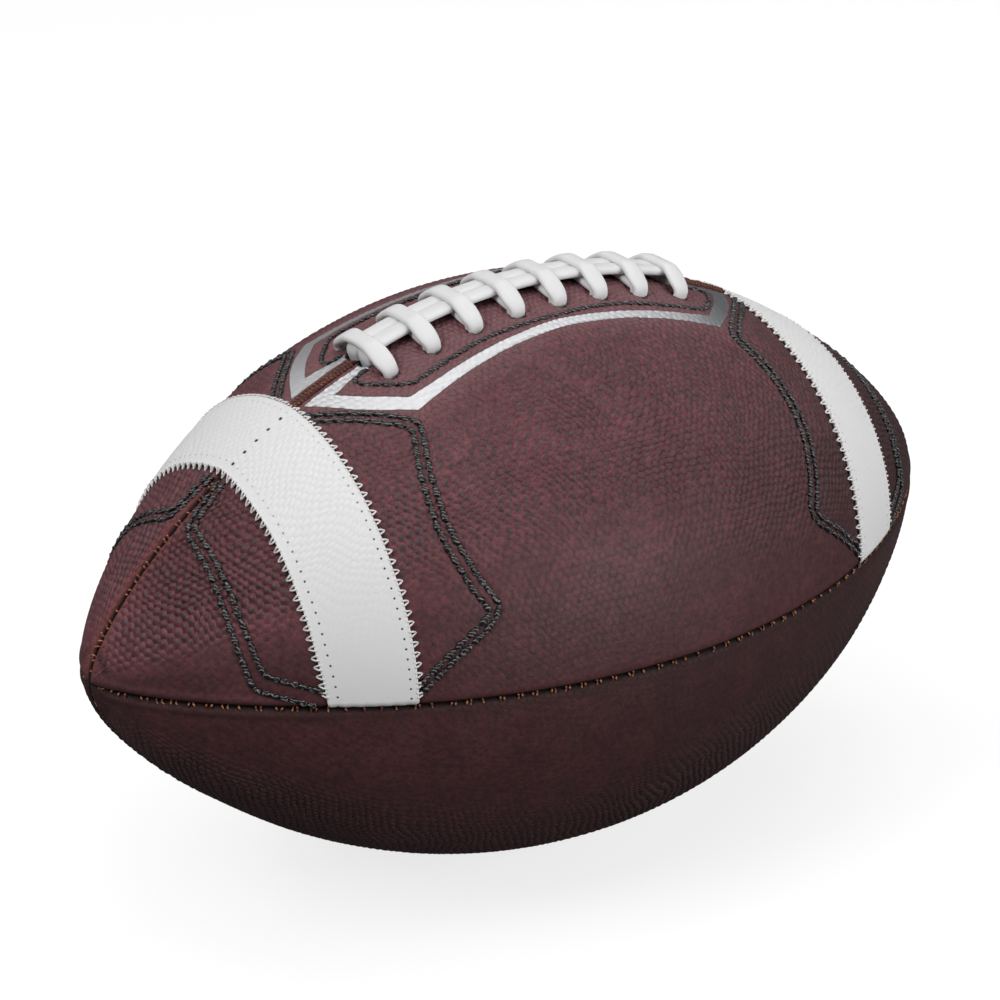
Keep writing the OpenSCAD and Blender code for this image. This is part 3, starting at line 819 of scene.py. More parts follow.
def mark_lacing(marks, x, angle, radius, near_side):
    """What the band, the stripes, the sewing and the holes change on a top panel."""
    ends, s, share = np.abs(x), angle * outline_radius(x), angle / (math.pi / 2)
    signed = [signed_distance(x, s, corners) for corners in (band_outside, band_inside)]
    beyond = np.maximum(signed[0], 0)
    band = np.maximum(signed[0], -signed[1]) + np.where(radius > outline_radius(x) - 4, 0, far_off)
    grain = marks["grain"] * np.clip(0.75 + beyond / 12, 0.75, 1)
    grain = grain * np.clip(0.22 + 0.78 * (band + 0.4) / 0.9, 0.22, 1)
    marks["grain"] = grain * (1.0 if near_side else np.interp(ends, (70, 90), (0.62, 0.8)))
    marks["band"] = band
    # Painted sheen: the leather close round the band is lightened
    marks["painted_sheen"] = 0.40 * (1 - ramp(beyond, 0, 9))
    # Painted shade on the top panels: darker towards the rear nose and towards the side seam
    marks["painted_shade"] = np.interp(x, (20, 58, 75, 96, 106), (1.0, 0.82, 0.60, 0.58, 0.34))
    marks["painted_shade"] *= 1 - 0.50 * ramp(share, 0.48, 0.35)
    marks["scuff"] *= 1 + 0.9 * ramp(ends, 98, 4) * (share < 0.5)
    inside_x, outside_x = stripe_edges(angle)
    beside = np.maximum(inside_x - ends, ends - outside_x)
    # Counting the distance from the stripe edges too lays the painted shade of the seams beside the stripes
    marks["seam"] = np.minimum(marks["seam"], 0.75 + 0.9 * np.maximum(beside, 0))
    pull = marks["pull"] - 0.20 * bell(beside, 1.0)
    for line in stitch_lines:
        pull -= 0.30 * bell(line_distance(-ends, s, line[::4]), pull_reach)
    pull -= 0.26 * bell(line_distance(x, s, lace_line[::4]), pull_reach)
    for centre in map(bar_x, range(lace_pairs)):
        ring = np.hypot(x - centre, s - hole_s) - lace_hole_d / 2
        pull -= 0.75 * bell(np.maximum(ring, 0), 2.0)
    marks["pull"] = pull


def mark_panel(mesh, laced, near_side, seed):
    """Stores the numbers that the pebbles and the hide read at each point."""
    points = mesh_points(mesh).astype(float) / MM
    x, radius = points[:, 0], np.hypot(points[:, 1], points[:, 2])
    angle = np.arctan2(np.abs(points[:, 1]), np.abs(points[:, 2]))
    seam = np.minimum(np.abs(points[:, 1]), np.abs(points[:, 2]))
    u, v = flat_map(x, angle - math.pi / 4)
    store(mesh, "flat", np.stack([u + 400 * seed, v + 300 * seed, 0 * u], -1), "FLOAT_VECTOR")
    # The pebbles fade on the inside, in the folds, at the tips and towards the side seam
    outer = 1 - ramp(outline_radius(x) - radius, 1.4, 0.8)
    tip = ramp(140 - np.abs(x), 0, 14)
    toward_side = 1 - 0.92 * ramp(angle / (math.pi / 2), 0.50 + 0.16 * ramp(x, -30, 60), 0.20)
    unevenness = 0.78 + 0.22 * np.sin(0.045 * u + 1.3 * seed) * np.cos(0.05 * v + seed)
    # Painted reflection: the foil is darker towards the rear end of the band and on the far side
    painted_foil_reflection = np.interp(x, (18, 29, 41, 52, 62), (1.0, 0.97, 0.84, 0.42, 0.26))
    marks = {
        "seam": seam,
        "painted_sheen": np.zeros(len(x)),
        "painted_foil_reflection": painted_foil_reflection * (1.0 if near_side else np.interp(x, (-66, -50), (0.95, 0.75))),
        "scuff": 0.40 * (1 - ramp(seam, 1.0, 3.5)),
        # Painted shade: the bottom panels are dark, darker towards the rear and on the shoulders beside the
        # seams; the top panels get theirs in mark_lacing
        "painted_shade": np.interp(x, (-70, 0, 70), (0.43, 0.27, 0.19)) * (1 - 0.55 * bell(seam - 1.7, 1.5)),
        "grain": outer * (0.35 + 0.65 * tip) * ramp(seam, 0.5, 2.2) * toward_side * unevenness,
        "band": np.full(len(x), far_off),
        "pull": 0.30 * bell(seam - 2.3, pull_reach) * ramp(np.abs(x), 96, 8)}
    if laced:
        mark_lacing(marks, x, angle, radius, near_side)
    marks["pull"] = marks["pull"] * outer
    for name, values in marks.items():
        store(mesh, name, values)


print("lace holes at", [bar_x(i) for i in range(lace_pairs)], "mm")

# %% [markdown]
# Now the four panels are made, marked and raised. The near side and the far side get other
# seeds, so their pebbles don't mirror each other.

# %% Leather panels
def panel_relief(tree):
    """The pebbles and the pull of the stitches, in millimetres."""
    dome, _ = pebble_height(tree, stored(tree, "flat", "FLOAT_VECTOR"))
    return plus(tree, relief(tree, dome, 0.72), stored(tree, "pull"))


panels = {}
for name, laced, side, top, seed in (("panel_top_right", True, -1, 1, 1), ("panel_top_left", True, 1, 1, 2),
                                     ("panel_bottom_right", False, -1, -1, 3),
                                     ("panel_bottom_left", False, 1, -1, 4)):
    mesh = panel_mesh("hide_" + name, laced, side, top)
    mark_panel(mesh, laced, side < 0, seed)
    panels[name] = link_piece(mesh, hide, (name,))
    raise_surface(panels[name], panel_relief)
    print(name, len(panels[name].data.polygons), "faces")

# %% [markdown]
# Thread. Every stitch is a short piece of twisted thread that comes out of one hole, lies on
# the leather and goes down into the next. A tube is a grid that is rolled up along a path,
# and all the stitches of a row are made as one mesh, so hundreds of them stay light. Two
# lobes that turn along the stitch give it the twist of a cord of two plies.

# %% Thread helper
def thread_mesh(name, paths, ups, widths, sides=8, plies=0.0, turns=0.0, flatness=1.0):
    """Tubes along paths of equal numbers of points, with closed ends. All in millimetres."""
    paths, ups, widths = (np.asarray(a, float) for a in (paths, ups, widths))
    count, rows = paths.shape[0], paths.shape[1] - 1
    sheet = bmesh.new()
    for _ in range(count):
        bmesh.ops.create_grid(sheet, x_segments=sides, y_segments=rows, size=1)
    mesh = bpy.data.meshes.new(name)
    sheet.to_mesh(mesh)
    column, row = grid_cells(mesh_points(mesh).reshape(count, -1, 3)[0], sides, rows)
    ahead = unit(np.gradient(paths, axis=1))
    side = unit(np.cross(ups, ahead))
    over = np.cross(ahead, side)
    turn = 2 * math.pi * column / sides
    way = row / rows
    radius = widths[:, row] / 2 * (1 + plies * np.cos(2 * turn - 2 * math.pi * turns * way))
    points = (paths[:, row] + side[:, row] * (radius * np.cos(turn))[..., None]
              + over[:, row] * (radius * flatness * np.sin(turn))[..., None])
    place_points(mesh, points)
    return close_up(sheet, mesh, 1e-6)


def outward_at(x, angle):
    along, away = outline_normal(x)
    return np.stack([along + 0 * angle, away * np.sin(angle), away * np.cos(angle)], -1)


stitch_shares = np.array([0.0, 0.06, 0.16, 0.28, 0.39, 0.5, 0.61, 0.72, 0.84, 0.94, 1.0])


def cut_into_stitches(line, pitch):
    """Places along each stitch of a line, as x and s."""
    way = way_along(line)
    number = round(way[-1] / pitch)
    spots = [(k + stitch_shares) * way[-1] / number for k in range(number)]
    return [np.stack([np.interp(spot, way, line[:, k]) for k in (0, 1)], 1) for spot in spots]


print("a stitch has", len(stitch_shares), "places")

# %% [markdown]
# The thread's finish. Twisted thread shows slanting plies in two tones and a little fuzz. A
# wave pattern on a slant, bent by noise, gives the plies without one more mesh, and one
# helper makes the black, the white and the waxed thread from it. On the black thread the
# pale tone is a painted glint.

# %% Thread material
ply_scale = 103.125


def thread_material(name, dark, light, roughness, twist=3.2, low=0.0, high=1.0, fuzz_scale=900,
                    loose=2.0):
    """Twisted thread: fine slanting plies in two tones of one colour."""
    made, net, shader = new_material(name, Roughness=roughness, Specular_IOR_Level=0.45)
    place = object_place(net)
    plies = add_node(net, "ShaderNodeTexWave", {"Vector": place, "Scale": ply_scale * twist,
                     "Distortion": loose, "Detail": 1.0}, bands_direction="DIAGONAL").outputs["Fac"]
    fuzz = noise(net, place, fuzz_scale, 2)
    tone = smooth_range(net, times(net, plies, plus(net, fuzz, 0.35)), low, high)
    finish_shader(net, shader, mix_colour(net, tone, dark, light), None, plies, 0.6, 0.18)
    return made


# The black thread's pale tone is a painted glint on its plies
black_thread = thread_material("black_thread", (0.003, 0.003, 0.0035), (0.23, 0.22, 0.225), 0.42,
                               twist=4.0, low=0.52, high=0.98, fuzz_scale=1300, loose=7.0)
white_thread = thread_material("white_thread", (0.74, 0.71, 0.70), (0.88, 0.87, 0.86), 0.7)
seam_thread = thread_material("seam_thread", (0.10, 0.028, 0.012), (0.50, 0.22, 0.10), 0.6,
                              low=0.25, high=0.95)
print("threads:", black_thread.name, white_thread.name, seam_thread.name)

# %% [markdown]
# The decorative sewing is a heavy black thread. Each stitch stands a little above the
# leather in its middle and sinks into the row that it has pulled in. The same rows serve
# both top panels and, turned round, the other end of the ball.

# %% Black stitch rows
stitch_pitch = 3.6
stitch_rise = 0.12
stitch_sink = 0.32


def stitch_row(spots, side, width):
    """Paths, ups and widths of stitches on one side of the ball."""
    away = np.abs(2 * stitch_shares - 1)
    lift = stitch_rise - (stitch_rise + stitch_sink) * away ** 5
    thick = width * (1 - away ** 8)
    turned = np.array([1, side, 1])
    paths, ups = [], []
    for spot in spots:
        angle = spot[:, 1] / outline_radius(spot[:, 0])
        paths.append(over_angle(spot[:, 0], angle, lift) * turned)
        ups.append(outward_at(spot[:, 0], angle) * turned)
    return paths, ups, [thick] * len(paths)


stitch_sets = {"lacing_stitching": ([lace_line], 1.3)}
for end_name, end in ball_ends:
    stitch_sets["double_stitching_" + end_name] = ([line * (-end, 1) for line in stitch_lines], 1.55)
for name, (lines, width) in stitch_sets.items():
    rows = [stitch_row(cut_into_stitches(line, stitch_pitch), side, width)
            for line in lines for side in (-1, 1)]
    data = [sum((row[k] for row in rows), []) for k in range(3)]
    mesh = thread_mesh(name, *data, plies=0.26, turns=1.5, flatness=0.72)
    link_piece(mesh, black_thread)
    print(mesh.name, len(data[0]), "stitches")

# %% [markdown]
# The stripes. Each is one strip of white leather over both upper panels, from side seam to
# side seam. The needle left a row of tiny holes beside each edge and five larger ones where
# the strip crosses the top seam. Cutting hundreds of such holes would cost much for little,
# so the finish paints them as near-black dots, a painted shade for their depth: each point
# knows how far the nearest edge is and where it lies between two holes.

# %% White leather
zigzag_pitch = 2.9
needle_off = 2.6
middle_pitch = 4.66
stripe_stretch = (0.85, 1.45, 1.0)


def off_hole(net, across, way, pitch):
    """Distance from the nearest of a row of holes, with the way counted in pitches."""
    along = times(net, calc(net, "SUBTRACT", calc(net, "FRACT", way), 0.5), pitch)
    squares = [calc(net, "POWER", part, 2.0) for part in (across, along)]
    return calc(net, "SQRT", plus(net, *squares))


stripe_white, net, shader = new_material("stripe_white", Specular_IOR_Level=0.35)
place = object_place(net)
flat = read_attribute(net, "flat", "Vector")
flat_way, flat_s, _ = add_node(net, "ShaderNodeSeparateXYZ", {0: flat}).outputs
edge = read_attribute(net, "edge", "Vector")
off_edge, edge_way, shown = add_node(net, "ShaderNodeSeparateXYZ", {0: edge}).outputs
needle = off_hole(net, calc(net, "SUBTRACT", off_edge, needle_off), edge_way, zigzag_pitch)
middle_way = plus(net, 0.6, calc(net, "DIVIDE", flat_way, middle_pitch))
middle = off_hole(net, plus(net, flat_s, 1.8), middle_way, middle_pitch)
needle_row = times(net, shown, smooth_range(net, needle, 0.18, 0.42, 1.0, 0.0))
middle_row = times(net, smooth_range(net, middle, 0.4, 0.7, 1.0, 0.0), smooth_range(net, off_edge, 1.0, 1.3))
holes = calc(net, "MAXIMUM", needle_row, middle_row)
ivory = mix_colour(net, noise(net, place, 60, 3), (0.77, 0.77, 0.768), (0.81, 0.81, 0.807))
grain = read_attribute(net, "grain")
dome, _ = pebble_height(net, vector_calc(net, "MULTIPLY", flat, stripe_stretch))
dome = times(net, dome, grain)
# Painted shade in the valleys between the stripe's pebbles
valley = times(net, smooth_range(net, dome, 0.0, 0.5, 0.22, 0.0), grain)
ivory = mix_colour(net, valley, ivory, (0.58, 0.58, 0.58))
# Painted shade: the needle holes are near-black dots
ivory = mix_colour(net, holes, ivory, (0.02, 0.02, 0.02))
height = plus(net, times(net, dome, 1.2), times(net, noise(net, place, 1300, 3), 0.3))
height = calc(net, "SUBTRACT", height, times(net, holes, 2.0))
finish_shader(net, shader, ivory, smooth_range(net, dome, 0, 1, 0.62, 0.5), height, strength=0.4)
print("white leather:", len(net.nodes), "nodes")

# %% [markdown]
# The strip itself is a grid again. Its columns run round a thin section with softly rounded
# edges, and its rows over the ball. It has a fine pebble that fades towards the sides, it
# dips a little into the side seams, and its corners there are cut round. A solidified ribbon
# would be quicker, but its edges would be sharp.

# %% Stripes
stripe_inner_x = 76.85
stripe_w = 23.2
stripe_outer_x = stripe_inner_x + stripe_w
stripe_height = 0.85
stripe_under = 0.05
stripe_lip = 0.35
stripe_half_way = 118
corner_r = 1.4
stripe_steps = (60, 3, 8)
stripe_rows = 500


def stripe_section():
    """Places across the strip and levels over the leather, once round its section."""
    top, rim, under = stripe_steps
    bend = np.linspace(0, math.pi / 2, rim + 1)[1:-1]
    far_lip, low = stripe_w - stripe_lip, stripe_height - stripe_lip
    across = [np.linspace(stripe_lip, far_lip, top + 1), far_lip + stripe_lip * np.sin(bend),
              [stripe_w, stripe_w], np.linspace(far_lip, stripe_lip, under + 1), [0.0, 0.0],
              stripe_lip * (1 - np.cos(bend)), [stripe_lip]]
    level = [np.full(top + 1, stripe_height), low + stripe_lip * np.cos(bend),
             [low, 0.1], np.full(under + 1, stripe_under), [0.1, low],
             low + stripe_lip * np.sin(bend), [stripe_height]]
    return np.concatenate(across), np.concatenate(level)


def stripe_mesh(name, end):
    across, level = stripe_section()
    sweep = np.linspace(-1, 1, stripe_rows + 1)

    def place(column, row):
        inside_x, outside_x = stripe_edges(sweep[row] * math.pi / 2)
        from_end = (1 - np.abs(sweep[row])) * stripe_half_way
        corner = corner_r * (1 - np.sqrt(1 - np.clip(1 - from_end / corner_r, 0, 1) ** 2))
        x = inside_x + corner + across[column] / stripe_w * (outside_x - inside_x - 2 * corner)
        r = outline_radius(x)
        # Its ends stop a little above the side seams, and not quite evenly
        near = 0.55 + 0.22 * np.sin(1.9 * x)
        angle = sweep[row] * (math.pi / 2 - near / r)
        off = r * np.cos(angle)
        over = ramp(seam_round + seam_gap / 2 - off, 0, seam_round)
        drop = seam_round * (1 - np.sqrt(1 - over * over))
        height = level[column] * (0.35 + 0.65 * np.sqrt(ramp(off, near, 1.6))) - drop
        return over_angle(x, angle, height) * (end, 1, 1)

    return sheet_mesh(name, len(across) - 1, stripe_rows, place, weld=1e-7)


print("a stripe is", round(stripe_w, 1), "mm wide and", stripe_height, "mm thick")

# %% [markdown]
# The strip's points are marked for its finish in the same way as the panels. Its own pebbles
# are lower, and the pattern is stretched so that they are longer across the strip.

# %% Stripe marks and pebbles
def outline_way(x):
    """Length along the outline from the middle of the ball to x."""
    return np.interp(x, fine_x, fine_way)


def mark_stripe(mesh, end):
    """Stores the flat copy, the distance from the edges and the fullness of the pebbles."""
    points = mesh_points(mesh).astype(float) / MM
    x = np.abs(points[:, 0])
    angle = np.arctan2(points[:, 1], points[:, 2])
    inside_x, outside_x = stripe_edges(angle)
    from_inside = outline_way(x) - outline_way(inside_x)
    from_outside = outline_way(outside_x) - outline_way(x)
    flat = [outline_way(x) - outline_way(stripe_inner_x), angle * outline_radius(x), 0 * x]
    store(mesh, "flat", np.stack(flat, -1), "FLOAT_VECTOR")
    nearest = np.minimum(from_inside, from_outside)
    inner_r, outer_r = outline_radius(stripe_inner_x), outline_radius(stripe_outer_x)
    edge_r = np.where(from_inside < from_outside, inner_r, outer_r)
    shown = (1.0 if end < 0 else 0.35) * (0.35 + 0.65 * ramp(np.abs(angle), 0.35, 0.5))
    store(mesh, "edge", np.stack([nearest, angle * edge_r / zigzag_pitch, shown], -1), "FLOAT_VECTOR")
    store(mesh, "grain", ramp(nearest, 0, 3) * (1 - 0.85 * ramp(np.abs(angle), 0.5, 0.7)))


def stripe_relief(tree):
    flat = stored(tree, "flat", "FLOAT_VECTOR")
    dome, _ = pebble_height(tree, vector_calc(tree, "MULTIPLY", flat, stripe_stretch))
    return relief(tree, dome, 0.13)


for end_name, end in ball_ends:
    mesh = stripe_mesh("stripe_strip_" + end_name, end)
    mark_stripe(mesh, end)
    piece = link_piece(mesh, stripe_white, ("stripe_" + end_name,))
    raise_surface(piece, stripe_relief)
    print(piece.name, len(piece.data.polygons), "faces")

# %% [markdown]
# The stripes are held by a zigzag seam: the thread comes up through the strip, crosses its
# edge to a hole in the brown leather, and goes back on a slant. Only the part that shows is
# made: each tooth is one short tube whose ends lie inside the strip.

# %% Zigzag thread
tooth_way = np.array([-0.6, -0.3, 0.15, 0.6, 1.0, 1.3, 1.05, 0.7, 0.3, -0.2, -0.5])
tooth_across = np.array([0.0, 0.0, 0.04, 0.17, 0.36, 0.6, 0.8, 0.98, 1.18, 1.38, 1.42])
tooth_lift = np.array([0.2, 1.05, 0.98, 0.42, 0.15, -0.15, 0.15, 0.3, 0.7, 1.05, 0.2])
tooth_thick = np.array([0.0, 0.45, 0.6, 0.56, 0.5, 0.42, 0.46, 0.52, 0.6, 0.45, 0.0])


def tooth(outward_sign, share, s, end):
    """One tooth of the zigzag, from the strip out to the leather and back."""
    x_edge = stripe_edges(share * math.pi / 2)[0 if outward_sign < 0 else 1]
    x = x_edge + outward_sign * tooth_way
    angle = (s + outward_sign * tooth_across) / float(outline_radius(x_edge))
    return over_angle(x, angle, tooth_lift) * (end, 1, 1), outward_at(x, angle) * (end, 1, 1), tooth_thick


for end_name, end in ball_ends:
    teeth = []
    for x_edge, sign in ((stripe_inner_x, -1), (stripe_outer_x, 1)):
        side_way = math.pi / 2 * float(outline_radius(x_edge))
        number = int((side_way - 2.2) / zigzag_pitch)
        for k in range(-number, number):
            way = (k + 0.25) * zigzag_pitch
            teeth.append(tooth(sign, way / side_way, way, end))
    mesh = thread_mesh("zigzag_thread_" + end_name, *zip(*teeth), sides=6)
    link_piece(mesh, white_thread)
    print(mesh.name, len(teeth), "teeth")

# %% [markdown]
# The lace is one long strap. It crosses the slit at the inner pairs of holes, runs to the far
# end and back over these bars, and crosses again over both runs at every pair. The route is
# the one of the CAD solid, drawn tighter: the real strap is pressed flat where it crosses
# itself, so the layers lie closer here, and its end folds sit right beside the end bars. A
# smooth curve through the route gives the strap its soft turns. A curve object with a bevel
# would twist at the folds, so the strap is a grid rolled along the route.

# %% Lace sizes
lace_w = 5.9
lace_t = 2.5
# Distance of a strand from the middle when two lie side by side
strand_s = 0.44 * lace_w
slit_reach = 4.4
half_layer = 1.2
facing_back = 5.02
first_depth = facing_back + half_layer
last_depth = first_depth + 2 * half_layer
lower_height = 0.95
run_height = 3.1
upper_height = 5.0
hole_w = 0.8
slit_w = 0.96
fold_x = 52.4
fold_s = 3.2
lower_reach = 11.2
upper_reach = 12.8
lace_end_x = (lace_pairs - 1) * lace_pitch / 2
upper_shares = [(0, 1), (0.3, 1), (0.44, 0.93), (0.6, 0.74), (0.76, 0.52), (0.89, 0.34), (0.98, 0.12)]
lower_shares = [(0, 1), (0.3, 1), (0.6, 1), (0.86, 0.88), (0.97, 0.4)]
crossing_shares = [(0.86, hole_w), (0.4, 1), (0, 1), (-0.4, 1), (-0.86, hole_w)]
lead_shares = [(0.85, 0, 90, 0.5), (0.5, 0.15, 55, 0.55), (0.25, 0.42, 25, 0.65), (0.08, 0.8, 8, 0.72)]
fold_shares = [(0.62, 1, 1), (0.3, 0.95, 1), (0.1, 0.68, 1), (0, 0.3, 0.98)]
bow = -0.16 * lace_w
print("lace:", lace_w, "by", lace_t, "mm, with its end bars at", lace_end_x, "mm")

# %% [markdown]
# The route is put together from bars over the slit, crossings under the leather, and the ways
# up through the ends of the slit. A place of the route is x, s and the height, then how far
# the strap is turned from the way of the ball, in degrees, and its share of the full width.

# %% Lace route
def mirrored(places):
    return [(x, -s, h, -turn, w) for x, s, h, turn, w in places]


def turned_on(places, turn):
    return [(x, s, h, turn + t, w) for x, s, h, t, w in places]


def lace_bar(x, shares, reach, height, bow_out, depth, waist=0.88):
    """A bar from the hole at -s, over the slit, to the hole at +s, a little narrow in its middle."""
    half = [(x - bow_out * (1 - a * a), a * reach, b * height, 0,
             waist + (1.04 - waist) * min(1, a / 0.66) - (1.04 - hole_w) * max(0, (a - 0.7) / 0.3) ** 2)
            for a, b in shares]
    half += [(x, reach, -half_layer, 0, hole_w), (x, reach, half_layer - depth, 0, hole_w)]
    return mirrored(half[1:])[::-1] + half


def crossing(x0, x1, reach, depth):
    turn = math.degrees(math.atan2(x1 - x0, 2 * reach))
    return [(x0 + (x1 - x0) / 2 * (1 - a), a * reach, -depth, turn, w) for a, w in crossing_shares]


def lead_in(reach, depth):
    return [(lace_end_x + slit_reach * a, fold_s + (reach - fold_s) * b, -depth, turn, w)
            for a, b, turn, w in lead_shares][::-1]


def rise(end, depth, towards):
    """Up through an end of the slit and over to the centre run."""
    steep = [(end, fold_s, half_layer - depth, 90, slit_w), (end, fold_s, -half_layer, 90, slit_w)]
    over = [(end - towards * a * lace_w, strand_s + (fold_s - strand_s) * (1 - b),
             b * run_height, 90, w) for a, b, w in fold_shares]
    return steep + over[::-1]


last = lace_pairs - 1
run = [(bar_x(i), strand_s, run_height, 90, 1) for i in range(last, -1, -1)]
rise_front = rise(-fold_x, first_depth, -1)[::-1]
turn_x = -fold_x - half_layer
turn_back = rise_front + [(turn_x - fold_s * math.sin(math.radians(f)), fold_s * math.cos(math.radians(f)),
                           -first_depth, 90 + f, slit_w) for f in range(0, 181, 30)]
turn_back += [(x, s, h, 270, w) for x, s, h, _, w in mirrored(rise_front)[::-1]]
route = crossing(bar_x(0), bar_x(1), lower_reach, first_depth)
for i in range(1, last):
    route += lace_bar(bar_x(i), lower_shares, lower_reach, lower_height, bow, first_depth)
    if i < last - 1:
        route += crossing(bar_x(i), bar_x(i + 1), lower_reach, first_depth)
route += lead_in(lower_reach, first_depth) + rise(fold_x, first_depth, 1) + run + turn_back
route += [(x, s, h, 270, w) for x, s, h, _, w in mirrored(run)[::-1]]
route += turned_on(mirrored(lead_in(upper_reach, last_depth) + rise(fold_x, last_depth, 1))[::-1], 360)
for i in range(last, -1, -1):
    places = lace_bar(bar_x(i), upper_shares, upper_reach, upper_height, 0, last_depth)
    if i > 0:
        places += crossing(bar_x(i), bar_x(i - 1), upper_reach, last_depth)
    route += turned_on(places, 360)
route += [(bar_x(0), e * upper_reach, -last_depth, 360, hole_w) for e in (0.86, 0.5, 0.2)]
route = np.array(route, float)
print("lace route:", len(route), "places")

# %% [markdown]
# The strap's finish is a smooth white coated cord, matt, with a soft sheen and the faintest
# lengthwise lines. The lines need to know where along the strap and across it a point lies,
# so the strap carries these two lengths with each point.

# %% Lace material
lace_white, net, shader = new_material("lace_white", Specular_IOR_Level=0.4)
place = object_place(net)
strap = read_attribute(net, "strap", "Vector")
drawn = vector_calc(net, "MULTIPLY", strap, (0.12, 3.0, 0.0))
lines = noise(net, drawn, 1.0, 3)
soft = noise(net, place, 700, 2)
white = mix_colour(net, soft, (0.735, 0.735, 0.737), (0.775, 0.775, 0.773))
white = mix_colour(net, smooth_range(net, lines, 0.35, 0.65, 0.12, 0.0), white, (0.6, 0.6, 0.61))
finish_shader(net, shader, white, smooth_range(net, soft, 0.2, 0.8, 0.42, 0.55),
              plus(net, lines, times(net, soft, 0.4)), strength=0.25, distance=0.15)
print("lace material:", len(net.nodes), "nodes")

# %% [markdown]
# The strap is rolled along the route. Its section is a flat oval with full sides, and its
# wide axis follows the turns of the route and stays square to the way ahead, so that it
# doesn't pinch in the folds.

# %% Lace strap
lace_fine = 5
lace_sides = 20
side_fullness = 0.68
face_fullness = 0.86


def smooth_through(points, fine):
    """A soft curve through points, with a number of steps between each two."""
    padded = np.concatenate([2 * points[:1] - points[1:2], points, 2 * points[-1:] - points[-2:-1]])
    t = (np.arange(fine) / fine)[None, :, None]
    a, b, c, d = (padded[k:k + len(points) - 1, None] for k in range(4))
    curve = 0.5 * (2 * b + (c - a) * t + (2 * a - 5 * b + 4 * c - d) * t ** 2
                   + (3 * b - a - 3 * c + d) * t ** 3)
    return np.concatenate([curve.reshape(-1, points.shape[1]), points[-1:]])


def lace_frames(places):
    """Points of the strap and the half axes of its section."""
    x, s, h, turn, width = places.T
    points = over_leather(x, s, h)
    angle = s / outline_radius(x)
    along, away = outline_normal(x)
    ball_way = np.stack([away, -along * np.sin(angle), -along * np.cos(angle)], -1)
    across = np.stack([0 * angle, np.cos(angle), -np.sin(angle)], -1)
    turn = np.radians(turn)[:, None]
    points = smooth_through(points, lace_fine)
    flat = unit(smooth_through(np.cos(turn) * ball_way + np.sin(turn) * across, lace_fine))
    width = smooth_through(width[:, None], lace_fine)
    ahead = unit(np.gradient(points, axis=0))
    wide = unit(flat - (flat * ahead).sum(1, keepdims=True) * ahead)
    return points, wide * width * lace_w / 2, np.cross(ahead, wide) * (0.5 + 0.5 * width) * lace_t / 2


centre, wide, thick = lace_frames(route)
travel = way_along(centre)
turns = np.linspace(0, 2 * math.pi, lace_sides + 1)
section_wide = np.sign(np.cos(turns)) * np.abs(np.cos(turns)) ** side_fullness
section_thick = np.sign(np.sin(turns)) * np.abs(np.sin(turns)) ** face_fullness


def lace_place(column, row):
    return (centre[row] + wide[row] * section_wide[column][:, None]
            + thick[row] * section_thick[column][:, None])


def strap_mark(column, row):
    return np.stack([travel[row], section_wide[column] * lace_w / 2, 0.0 * row], -1)


mesh = sheet_mesh("lace_strap", lace_sides, len(centre) - 1, lace_place, mark=("strap", strap_mark))
link_piece(mesh, lace_white, ("lace",))
print("lace strap:", round(travel[-1]), "mm long,", len(mesh.polygons), "faces")

# %% [markdown]
# The lace holes. They are punched through both walls of a top panel, and the valve hole
# through one bottom panel. Holes could be modelled into the grid, but a clean round hole in
# a dense mesh is what a boolean cut is for: cylinders are taken away from the panel.

# %% Punched holes
lace_punch_d = 4.6
fold_punch_d = 5.4
valve_punch_d = 5.8
punch_deep = 14


def punch(piece, places, diameter):
    """Cuts round holes square to the leather. A place is a point and the outward direction."""
    cutter_sheet = bmesh.new()
    for point, outward in places:
        turn = Vector(outward).to_track_quat("Z", "Y").to_matrix().to_4x4()
        spot = Matrix.Translation(Vector(point) * MM) @ turn
        bmesh.ops.create_cone(cutter_sheet, cap_ends=True, segments=40, radius1=diameter / 2 * MM,
                              radius2=diameter / 2 * MM, depth=punch_deep * MM, matrix=spot)
    cutter_mesh = bpy.data.meshes.new("cutter")
    cutter_sheet.to_mesh(cutter_mesh)
    cutter_sheet.free()
    cutter = bpy.data.objects.new("cutter", cutter_mesh)
    scene.collection.objects.link(cutter)
    cut = piece.modifiers.new("punch", "BOOLEAN")
    cut.object = cutter
    cut.operation = "DIFFERENCE"
    cut.solver = "MANIFOLD"
    apply_modifiers(piece)
    bpy.data.objects.remove(cutter)
    bpy.data.meshes.remove(cutter_mesh)
    piece.data.set_sharp_from_angle(angle=math.radians(50))


def hole_place(x, s, side):
    """Point and outward direction of a hole, on the right for side -1."""
    angle = s / float(outline_radius(x))
    turned = np.array([1, side, 1])
    return (over_leather(np.array(x), s, 0) * turned, outward_at(np.array(x), np.array(angle)) * turned)


for name, side in (("panel_top_right", -1), ("panel_top_left", 1)):
    punch(panels[name], [hole_place(bar_x(i), hole_s, side) for i in range(lace_pairs)], lace_punch_d)
    punch(panels[name], [hole_place(x, fold_s, side) for x in (-fold_x, fold_x)], fold_punch_d)
    print(name, "punched:", len(panels[name].data.polygons), "faces")
valve_offset = 24.0
valve_angle = math.pi - valve_offset / half_width
valve_way = outward_at(np.array(0.0), np.array(valve_angle))
valve_place = over_angle(np.array(0.0), valve_angle, 0)
punch(panels["panel_bottom_left"], [(valve_place, valve_way)], valve_punch_d)
print("valve hole at", [round(float(c), 1) for c in valve_place], "mm")

# %% [markdown]
# The seams. The two edges are drawn together by waxed thread, which shows as small
# orange-brown loops down in the groove, and as knots near the noses. Hand sewing is never
# quite even, so each loop's place, slant and height are drawn at random from a fixed seed,
# which gives the same seams at every run.

# %% Seam thread
last_x = 143.6
loop_pitch = 4.8
nose_gap = 4.0
stripe_end_x = 101.5
knot_x = (139.4, 141.9)
loop_shape = np.array([0.0, 0.8, 1.0, 1.0, 1.0, 0.8, 0.0])


